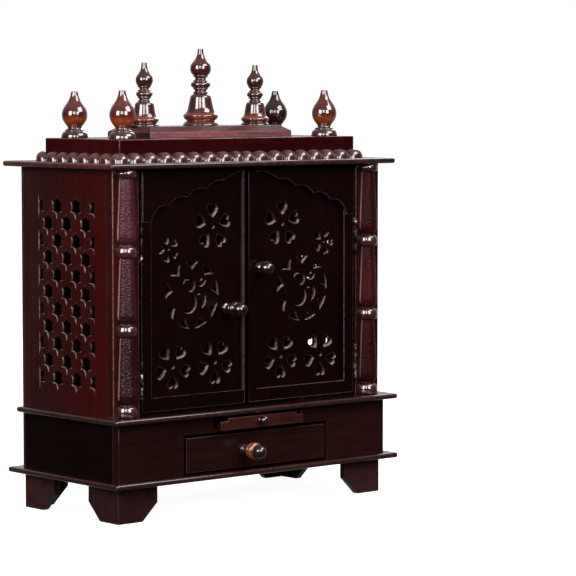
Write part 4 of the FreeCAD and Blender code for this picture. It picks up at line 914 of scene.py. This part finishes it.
def wedge(cx, cz, r0, r1, ang, half, n=8):
    pts = []
    for i in range(n + 1):
        a = math.radians(ang - half + 2.0 * half * i / n)
        pts.append((cx + r1 * math.cos(a), cz + r1 * math.sin(a)))
    a = math.radians(ang)
    tip = (cx + r0 * math.cos(a), cz + r0 * math.sin(a))
    out = list(pts)
    for end, start in ((tip, pts[-1]), (pts[0], tip)):
        # sides of the wedge are drawn slightly hollow
        for t in (0.33, 0.66):
            x, y = start[0] + (end[0] - start[0]) * t, start[1] + (end[1] - start[1]) * t
            d = math.hypot(x - cx, y - cz)
            k = (d + 0.9) / d
            out.append((cx + (x - cx) * k, cz + (y - cz) * k))
        if end is tip:
            out.append(tip)
    return out


def stroke(pts, widths):
    full = crom([(x, y, w) for (x, y), w in zip(pts, widths)], 3)
    left, right = [], []
    n = len(full)
    for i in range(n):
        a, b = full[max(i - 1, 0)], full[min(i + 1, n - 1)]
        dx, dy = b[0] - a[0], b[1] - a[1]
        L = math.hypot(dx, dy)
        nx, ny, w = -dy / L, dx / L, full[i][2]
        left.append((full[i][0] + nx * w, full[i][1] + ny * w))
        right.append((full[i][0] - nx * w, full[i][1] - ny * w))
    return left + right[::-1]


def om_strokes(cx, cz):
    bowl = [(-18, 19), (-14.5, 25), (-7, 27.6), (0, 24.6), (3.4, 17), (1.4, 9.6), (-5, 4.4), (2, -0.6), (5.6, -8.5),
            (5, -18), (-0.6, -25.2), (-8, -27.4), (-15.6, -25.4), (-20.6, -20.6)]
    wb = [1.2, 2.4, 3.2, 3.5, 3.6, 3.2, 2.2, 3.0, 3.8, 4.0, 3.8, 3.2, 2.4, 1.1]
    tail = [(11.2, -0.4), (15.2, 1.8), (20.6, 1.8), (25.4, -2.4), (26.6, -9.6), (24.6, -17), (20.6, -22)]
    wt = [1.0, 2.2, 2.9, 3.3, 3.0, 2.2, 0.9]
    moon = [(8.6, 24.6), (12.4, 17.8), (18.4, 15.2), (24.8, 17.4), (28.2, 23.0)]
    wm = [0.8, 2.1, 2.6, 2.1, 0.8]
    out = []
    for p, w in ((bowl, wb), (tail, wt), (moon, wm)):
        q = [(cx + x, cz + y) for x, y in p]
        out.append((stroke(q, w), stroke(q, [max(0.35, k - 1.3) for k in w])))
    dot = disc(cx + 18.2, cz + 25.4, 3.3, 16)
    out.append((dot, shrink(dot, 0.7)))
    return out


def door_holes(sx):
    out = flower(sx * 75.3, 470.0, 37.5, 90) + flower(sx * 167.3, 436.0, 21.0, 38 if sx < 0 else -2)
    out += flower(sx * 159.5, 245.0, 36.5, -90) + flower(sx * 71.0, 247.0, 36.5, -90)
    for i in range(9):
        w = wedge(sx * 119.0, 360.0, 40.0, 55.5, 90 + 40 * i, 14.5)
        out.append((w, shrink(w, 0.70)))
    return out + om_strokes(sx * 119.0, 360.0)


FOILS = [((-209.4, 481.0), (-201.5, 498.5), (-173.5, 507.0)), ((-173.5, 507.0), (-161.0, 517.5), (-135.5, 518.5)),
         ((-135.5, 518.5), (-121.5, 530.5), (-96.5, 531.5)), ((-96.5, 531.5), (-81.0, 542.5), (-57.5, 544.5)),
         ((-57.5, 544.5), (-42.0, 553.5), (-12.0, 559.5))]


def arc3(a, b, c, n=10):
    """Points on the circle through three points, from a to c, without c."""
    d = 2 * (a[0] * (b[1] - c[1]) + b[0] * (c[1] - a[1]) + c[0] * (a[1] - b[1]))
    sa, sb, sc = (q[0] ** 2 + q[1] ** 2 for q in (a, b, c))
    ux = (sa * (b[1] - c[1]) + sb * (c[1] - a[1]) + sc * (a[1] - b[1])) / d
    uy = (sa * (c[0] - b[0]) + sb * (a[0] - c[0]) + sc * (b[0] - a[0])) / d
    r = math.hypot(a[0] - ux, a[1] - uy)
    t0, tb, t1 = (math.atan2(q[1] - uy, q[0] - ux) for q in (a, b, c))
    while tb - t0 > math.pi:
        tb -= 2 * math.pi
    while tb - t0 < -math.pi:
        tb += 2 * math.pi
    while t1 - tb > math.pi:
        t1 -= 2 * math.pi
    while t1 - tb < -math.pi:
        t1 += 2 * math.pi
    return [(ux + r * math.cos(t0 + (t1 - t0) * i / n), uy + r * math.sin(t0 + (t1 - t0) * i / n)) for i in range(n)]


def calm_top(ob, z):
    """Neither wear nor painted highlight along the top edge, which lies in the shade of the slab above."""
    at = ob.data.attributes["wear_and_highlight"]
    for p in ob.data.polygons:
        if p.center.z > z * MM:
            for k in p.loop_indices:
                at.data[k].value = 0.0


def calm_all(ob, k):
    """Less painted highlight and wear on the whole board."""
    for v in ob.data.attributes["wear_and_highlight"].data:
        v.value *= k


def calm_side(ob, x):
    """Neither wear nor painted highlight beside the meeting edge, which lies in the shade of the left door's lip."""
    at = ob.data.attributes["wear_and_highlight"]
    for p in ob.data.polygons:
        if p.center.x < x * MM:
            for k in p.loop_indices:
                at.data[k].value = 0.0


def door(side, sx):
    body = "door_" + side
    x0, x1 = (-229.0, -12.0) if sx < 0 else (-5.0, 229.0)
    f0, f1 = (-209.0, -15.0) if sx < 0 else (12.0, 207.0)
    z0, z1 = 175.5, 562.5
    ring = [[(x0, z0), (x1, z0), (x1, z1), (x0, z1)], [(f0, 198.0), (f1, 198.0), (f1, 558.0), (f0, 558.0)]]
    if sx < 0:
        ring[0][1] = (x1 - 3.2, z0)
        ring[0][2] = (x1 - 3.2, z1)
        ring[1][1] = (f1 - 1.6, 198.0)
        ring[1][2] = (f1 - 1.6, 558.0)
        rbox("door_lip_" + side, body, "door_lip", -17.2, x1, UP_FRONT, UP_FRONT + 18, z0, z1, 3.3, 5, (body,))
    fr = plate("door_frame_" + side, body, "door", ring, "XZ", UP_FRONT, UP_FRONT + 18, 1.4 if sx > 0 else 0.6, 3, (body,))
    calm_top(fr, z1 - 3.0)
    if sx > 0:
        calm_side(fr, f0 + 2.0)
    field = [(f0 - 0.2, 197.8), (f1 + 0.2, 197.8), (f1 + 0.2, 558.2), (f0 - 0.2, 558.2)]
    pierced("door_field_" + side, body, "door", field, door_holes(sx), "XZ", UP_FRONT + 8, UP_FRONT + 17.7, 5.0, (body,), 1.0)
    edge, meet = (x0, x1) if sx < 0 else (x1, x0)
    foils = list(FOILS)
    if sx > 0:
        foils[-1] = (foils[-1][0], (-38.0, 554.6), (5.0, 560.2))
    else:
        foils[-1] = (foils[-1][0], foils[-1][1], (-12.0, 559.5))
    pts = [(edge - sx * 0.4, 481.0)]
    for f in foils:
        a, b, c = ((q[0] if sx < 0 else -q[0], q[1]) for q in f)
        pts += arc3(a, b, c)
    pts.append((meet + sx * 0.4, foils[-1][2][1]))
    pts += [(meet + sx * 0.4, z1 - 0.4), (edge - sx * 0.4, z1 - 0.4)]
    ar = plate("door_arch_" + side, body, "door", [pts], "XZ", UP_FRONT - 3, UP_FRONT + 7.5, 1.5, 4, ("arch_" + side,))
    calm_top(ar, z1 - 2.2)
    calm_all(ar, 0.7)


door("left", -1)
door("right", 1)

KNOB = [(8.6, 0.0), (8.9, 1.4), (7.6, 2.6), (5.6, 4.0), (5.2, 7.5), (5.6, 10.6), (7.6, 13.0), (9.8, 14.8), (10.3, 16.8),
        (9.2, 18.6), (8.4, 19.8), (11.2, 21.4), (12.8, 24.0), (12.6, 26.6), (10.8, 28.8), (9.4, 30.2), (10.8, 32.0),
        (11.8, 35.4), (11.8, 39.0), (10.2, 43.0), (7.0, 46.4), (3.0, 47.8)]
SHORT_KNOB = [(7.6, 0.0), (8.0, 1.2), (7.8, 3.2), (6.4, 4.8), (5.8, 6.4), (8.2, 8.0), (10.2, 10.2), (10.4, 12.4), (9.2, 14.4),
              (8.6, 15.8), (10.4, 17.6), (11.7, 20.6), (12.0, 24.4), (11.2, 28.4), (8.8, 32.4), (5.6, 34.8), (2.6, 35.5)]
lathe("door_knob_left", "door_left", "knob", KNOB, -47.0, UP_FRONT + 8, 334.0, "-Y", 64, 4, ("door_knob_left",), None, 1.0)
lathe("door_knob_right", "door_right", "knob", SHORT_KNOB, 21.5, UP_FRONT + 8, 398.5, "-Y", 64, 4, ("door_knob_right",), None,
      1.0)
DKNOB = [(9.6, 0.0), (9.9, 1.8), (8.4, 3.6), (6.6, 6.0), (6.4, 9.6), (8.0, 13.0), (10.8, 15.6), (12.5, 17.8), (12.8, 19.8),
         (11.8, 21.4), (13.2, 23.0), (14.4, 25.6), (14.3, 28.6), (12.8, 31.0), (10.8, 32.4), (11.3, 34.4), (11.6, 38.0),
         (10.9, 42.4), (8.8, 46.6), (5.4, 49.2), (2.6, 50.0)]
lathe("drawer_knob", "drawer", "drawer_knob", DKNOB, -26.0, LOW_FRONT, 100.0, "-Y", 72, 4, ("drawer_knob",), None, 1.0)
TKNOB = [(5.2, 0.0), (4.2, 1.6), (3.6, 4.0), (5.4, 6.2), (7.4, 8.0), (8.0, 10.4), (7.4, 13.2), (5.4, 15.4), (2.2, 16.2)]
lathe("tray_knob", "tray", "knob", TKNOB, -0.5, -143.5, 148.5, "-Y", 48, 4, ("tray_knob",), None, 1.0)


# ------------------------------------------------------------------ hinges
def barrel(name, body, x, z0, z1):
    r = 2.9
    prof = [(1.35, 0.0), (r - 0.5, 0.0), (r, 0.5), (r, z1 - z0 - 0.5), (r - 0.5, z1 - z0), (1.35, z1 - z0)]
    return lathe(name, body, "steel", prof, x, -119.8, z0, "Z", 28, 1)


def screw(name, body, x, y, z, out):
    """Flat-head screw with a slot, on the face of a leaf."""
    bm = bmesh.new()
    n = 24
    rings = []
    for r, h in ((2.3, 0.0), (2.3, 0.15), (1.9, 0.45), (0.4, 0.5)):
        ring = []
        for k in range(n):
            a = 2 * math.pi * k / n
            yy, zz = r * math.cos(a), r * math.sin(a)
            dip = 0.3 if abs(yy * 0.8 + zz * 0.6) < 0.35 and h > 0.3 else 0.0
            ring.append(bm.verts.new(P(x + out * (h - dip), y + yy, z + zz)))
        rings.append(ring)
    for a, b in zip(rings, rings[1:]):
        for k in range(n):
            bm.faces.new((a[k], a[(k + 1) % n], b[(k + 1) % n], b[k]))
    bm.faces.new(rings[-1])
    bm.faces.new(rings[0][::-1])
    return finish_mesh(bm, name, body, "steel", (), 40)


for side, sx in (("left", -1), ("right", 1)):
    px = 231.5 * sx
    fr, dr = [], []
    for tag, zc in (("low", 228.0), ("high", 444.0)):
        z0 = zc - 31.0
        n = side + "_" + tag
        fr.append(barrel("knuckle_a_" + n, "cabinet", px, z0, z0 + 18.4))
        fr.append(barrel("knuckle_c_" + n, "cabinet", px, z0 + 43.6, z0 + 62.0))
        pin = [(1.3, 0.0), (1.3, 62.6), (2.4, 62.6), (2.5, 63.2), (1.6, 64.0)]
        fr.append(lathe("pin_" + n, "cabinet", "steel", [(a, min(b, 62.0)) for a, b in pin[:2]], px, -119.8, z0, "Z", 20, 1))
        dr.append(barrel("knuckle_b_" + n, "door_" + side, px, z0 + 18.9, z0 + 43.1))
        xf = -sx * (286.6 - 52.6)
        a, b = sorted((-xf, -xf - sx * 1.3))
        fr.append(rbox("leaf_f_" + n, "cabinet", "steel", a, b, -116.2, -104.8, z0, z0 + 62.0, 0.3, 2))
        a, b = sorted((229.0 * sx, 230.3 * sx))
        dr.append(rbox("leaf_d_" + n, "door_" + side, "steel", a, b, -116.2, -104.8, z0, z0 + 62.0, 0.3, 2))
        for k, dz in enumerate((10.0, 31.0, 52.0)):
            fr.append(screw("screw_f%d_%s" % (k, n), "cabinet", -xf - sx * 1.3, -109.4, z0 + dz, -sx))
            dr.append(screw("screw_d%d_%s" % (k, n), "door_" + side, 230.3 * sx, -109.4, z0 + dz, sx))
        for body, lst, spans in (("cabinet", fr, ((0.0, 18.4), (43.6, 62.0))), ("door_" + side, dr, ((18.9, 43.1),))):
            for k, (u, w) in enumerate(spans):
                c = 234.0 if body == "cabinet" else 229.0
                a, b = sorted((px, (233.9 if body == "cabinet" else 229.1) * sx))
                lst.append(rbox("web_%s_%s_%d" % (body[:1], n, k), body, "steel", a, b, -119.2, -115.8, z0 + u, z0 + w, 0.2, 2))
    fr = join("hinge_frame_" + side, fr)
    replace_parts(fr, "hinge_leaves_frame_" + side)
    dr = join("hinge_door_" + side, dr)
    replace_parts(dr, "hinge_leaves_door_" + side)

# ------------------------------------------------------------------ drawer and tray
node_box("drawer_front", "drawer", "dark_x", 1.0)
ds = [rbox("ds_l", "drawer", "inner", -141, -131, -114, 102, 73, 122.5, 0.8),
      rbox("ds_r", "drawer", "inner", 133, 143, -114, 102, 73, 122.5, 0.8)]
ds = join("drawer_side_boards", ds)
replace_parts(ds, "drawer_sides")
node_box("drawer_back", "drawer", "inner", 0.8)
node_box("drawer_bottom", "drawer", "inner", 0.4)
for nm in ("drawer_runners", "tray_guides"):
    o = frame["nodes"][nm]
    for i in range(max(1, len(o.material_slots))):
        if len(o.material_slots) <= i:
            o.data.materials.append(M["inner"])
        else:
            o.material_slots[i].material = M["inner"]
node_box("tray_board", "tray", "tray", 0.9)
tf = [(-85.5, 136.5), (92.5, 136.5), (92.5, 151.5), (78.0, 151.5), (78.0, 156.5), (-71.0, 156.5), (-71.0, 151.5),
      (-85.5, 151.5)]
plate("tray_front", "tray", "tray", [tf], "XZ", -143.5, -132.0, 1.3, 3, ("tray_front",))

# ------------------------------------------------------------------ camera
yaw, pitch = math.radians(-41.06), math.radians(4.21)
f, cx, cy = 2715.66, 297.98, 286.97
back = Vector((math.sin(yaw) * math.cos(pitch), -math.cos(yaw) * math.cos(pitch), math.sin(pitch)))
right = Vector((math.cos(yaw), math.sin(yaw), 0.0))
up = back.cross(right)
C = Vector((0.0, FY, 350.0)) + back * 4588.66 + right * 154.88 + up * 10.93
cam_data = bpy.data.cameras.new("camera")
cam = bpy.data.objects.new("camera", cam_data)
bpy.context.scene.collection.objects.link(cam)
rot = Matrix((right, up, back)).transposed().to_4x4()
cam.matrix_world = Matrix.Translation(C * MM) @ rot
cam_data.sensor_width = 36.0
cam_data.lens = f * 36.0 / 576.0
cam_data.shift_x = (288.0 - cx) / 576.0
cam_data.shift_y = (cy - 288.0) / 576.0
cam_data.clip_start, cam_data.clip_end = 0.1, 60.0
bpy.context.scene.camera = cam

# ------------------------------------------------------------------ studio
fm = bpy.data.materials.new("pale_floor")
fm.use_nodes = True
nt = fm.node_tree
pb = nt.nodes["Principled BSDF"]
pb.inputs["Base Color"].default_value = (0.5, 0.5, 0.5, 1.0)
pb.inputs["Roughness"].default_value = 0.9
pb.inputs["Specular IOR Level"].default_value = 0.0
pb.inputs["Emission Color"].default_value = (1.0, 1.0, 1.0, 1.0)
fc = nt.nodes.new("ShaderNodeTexCoord")
fl = nt.nodes.new("ShaderNodeVectorMath")
fl.operation = "LENGTH"
nt.links.new(fc.outputs["Object"], fl.inputs[0])
fr_ = nt.nodes.new("ShaderNodeMapRange")
fr_.inputs["From Min"].default_value = 0.35
fr_.inputs["From Max"].default_value = 1.3
fr_.inputs["To Min"].default_value = 0.94
fr_.inputs["To Max"].default_value = 1.1
nt.links.new(fl.outputs["Value"], fr_.inputs["Value"])
nt.links.new(fr_.outputs["Result"], pb.inputs["Emission Strength"])
me = bpy.data.meshes.new("floor")
me.from_pydata([(-14, -14, 0), (14, -14, 0), (14, 14, 0), (-14, 14, 0)], [], [(0, 1, 2, 3)])
me.materials.append(fm)
floor = bpy.data.objects.new("floor", me)
bpy.context.scene.collection.objects.link(floor)
floor.location = (0.0, 0.0, -0.0002)
floor.visible_glossy = False
floor.visible_diffuse = False

world = bpy.data.worlds.new("studio")
bpy.context.scene.world = world
world.use_nodes = True
wt = world.node_tree
wt.nodes.clear()
wo = wt.nodes.new("ShaderNodeOutputWorld")
bg_room = wt.nodes.new("ShaderNodeBackground")
bg_white = wt.nodes.new("ShaderNodeBackground")
bg_white.inputs["Color"].default_value = (1, 1, 1, 1)
bg_white.inputs["Strength"].default_value = 1.05
mixw = wt.nodes.new("ShaderNodeMixShader")
lp = wt.nodes.new("ShaderNodeLightPath")
tc = wt.nodes.new("ShaderNodeTexCoord")
sep = wt.nodes.new("ShaderNodeSeparateXYZ")
wt.links.new(tc.outputs["Generated"], sep.inputs["Vector"])
dt = wt.nodes.new("ShaderNodeVectorMath")
dt.operation = "DOT_PRODUCT"
dt.inputs[1].default_value = (0.657, 0.754, 0.0)
wt.links.new(tc.outputs["Generated"], dt.inputs[0])
mr = wt.nodes.new("ShaderNodeMapRange")
mr.inputs["From Min"].default_value = 0.30
mr.inputs["From Max"].default_value = 0.98
mr.inputs["To Min"].default_value = 0.030
mr.inputs["To Max"].default_value = 0.45
wt.links.new(dt.outputs["Value"], mr.inputs["Value"])
mz = wt.nodes.new("ShaderNodeMapRange")
mz.inputs["From Min"].default_value = 0.05
mz.inputs["From Max"].default_value = 0.9
mz.inputs["To Min"].default_value = 0.0
mz.inputs["To Max"].default_value = 0.26
wt.links.new(sep.outputs["Z"], mz.inputs["Value"])
ad = wt.nodes.new("ShaderNodeMath")
ad.operation = "ADD"
wt.links.new(mr.outputs["Result"], ad.inputs[0])
wt.links.new(mz.outputs["Result"], ad.inputs[1])
wt.links.new(ad.outputs["Value"], bg_room.inputs["Strength"])
bg_room.inputs["Color"].default_value = (1.0, 0.95, 0.96, 1.0)
wt.links.new(lp.outputs["Is Camera Ray"], mixw.inputs["Fac"])
wt.links.new(bg_room.outputs["Background"], mixw.inputs[1])
wt.links.new(bg_white.outputs["Background"], mixw.inputs[2])
wt.links.new(mixw.outputs["Shader"], wo.inputs["Surface"])


def softbox(name, turn, rise, dist, sx, sy, glow, color=(1, 1, 1)):
    """Rectangular light that faces the object, turned from the camera's side by an angle,
    with its brightness given as radiance."""
    a = math.radians(-131.06 + turn)
    e = math.radians(rise)
    loc = Vector((math.cos(a) * math.cos(e), math.sin(a) * math.cos(e), math.sin(e))) * dist + Vector((0, 0, 0.40))
    d = bpy.data.lights.new(name, "AREA")
    d.shape = "RECTANGLE"
    d.size, d.size_y = sx, sy
    d.energy = glow * math.pi * sx * sy
    d.color = color
    o = bpy.data.objects.new(name, d)
    bpy.context.scene.collection.objects.link(o)
    o.location = loc
    o.rotation_mode = "QUATERNION"
    o.rotation_quaternion = (Vector((0, 0, 0.40)) - loc).to_track_quat("-Z", "Y")
    return o


softbox("softbox_left", -38, 19, 3.2, 1.4, 1.7, 9.5)
softbox("softbox_right", 33, 19, 3.4, 1.3, 1.6, 9.0)
softbox("softbox_front", -3, 22, 3.3, 1.0, 1.3, 6.5)
softbox("softbox_high", 66, 44, 2.9, 1.9, 1.3, 7.5)
softbox("softbox_top", -30, 86, 2.3, 2.4, 2.4, 2.4).visible_glossy = False
softbox("softbox_behind", 172, 32, 3.4, 1.8, 1.4, 4.0)

bpy.context.scene.view_settings.view_transform = "Standard"
bpy.context.scene.view_settings.look = "None"
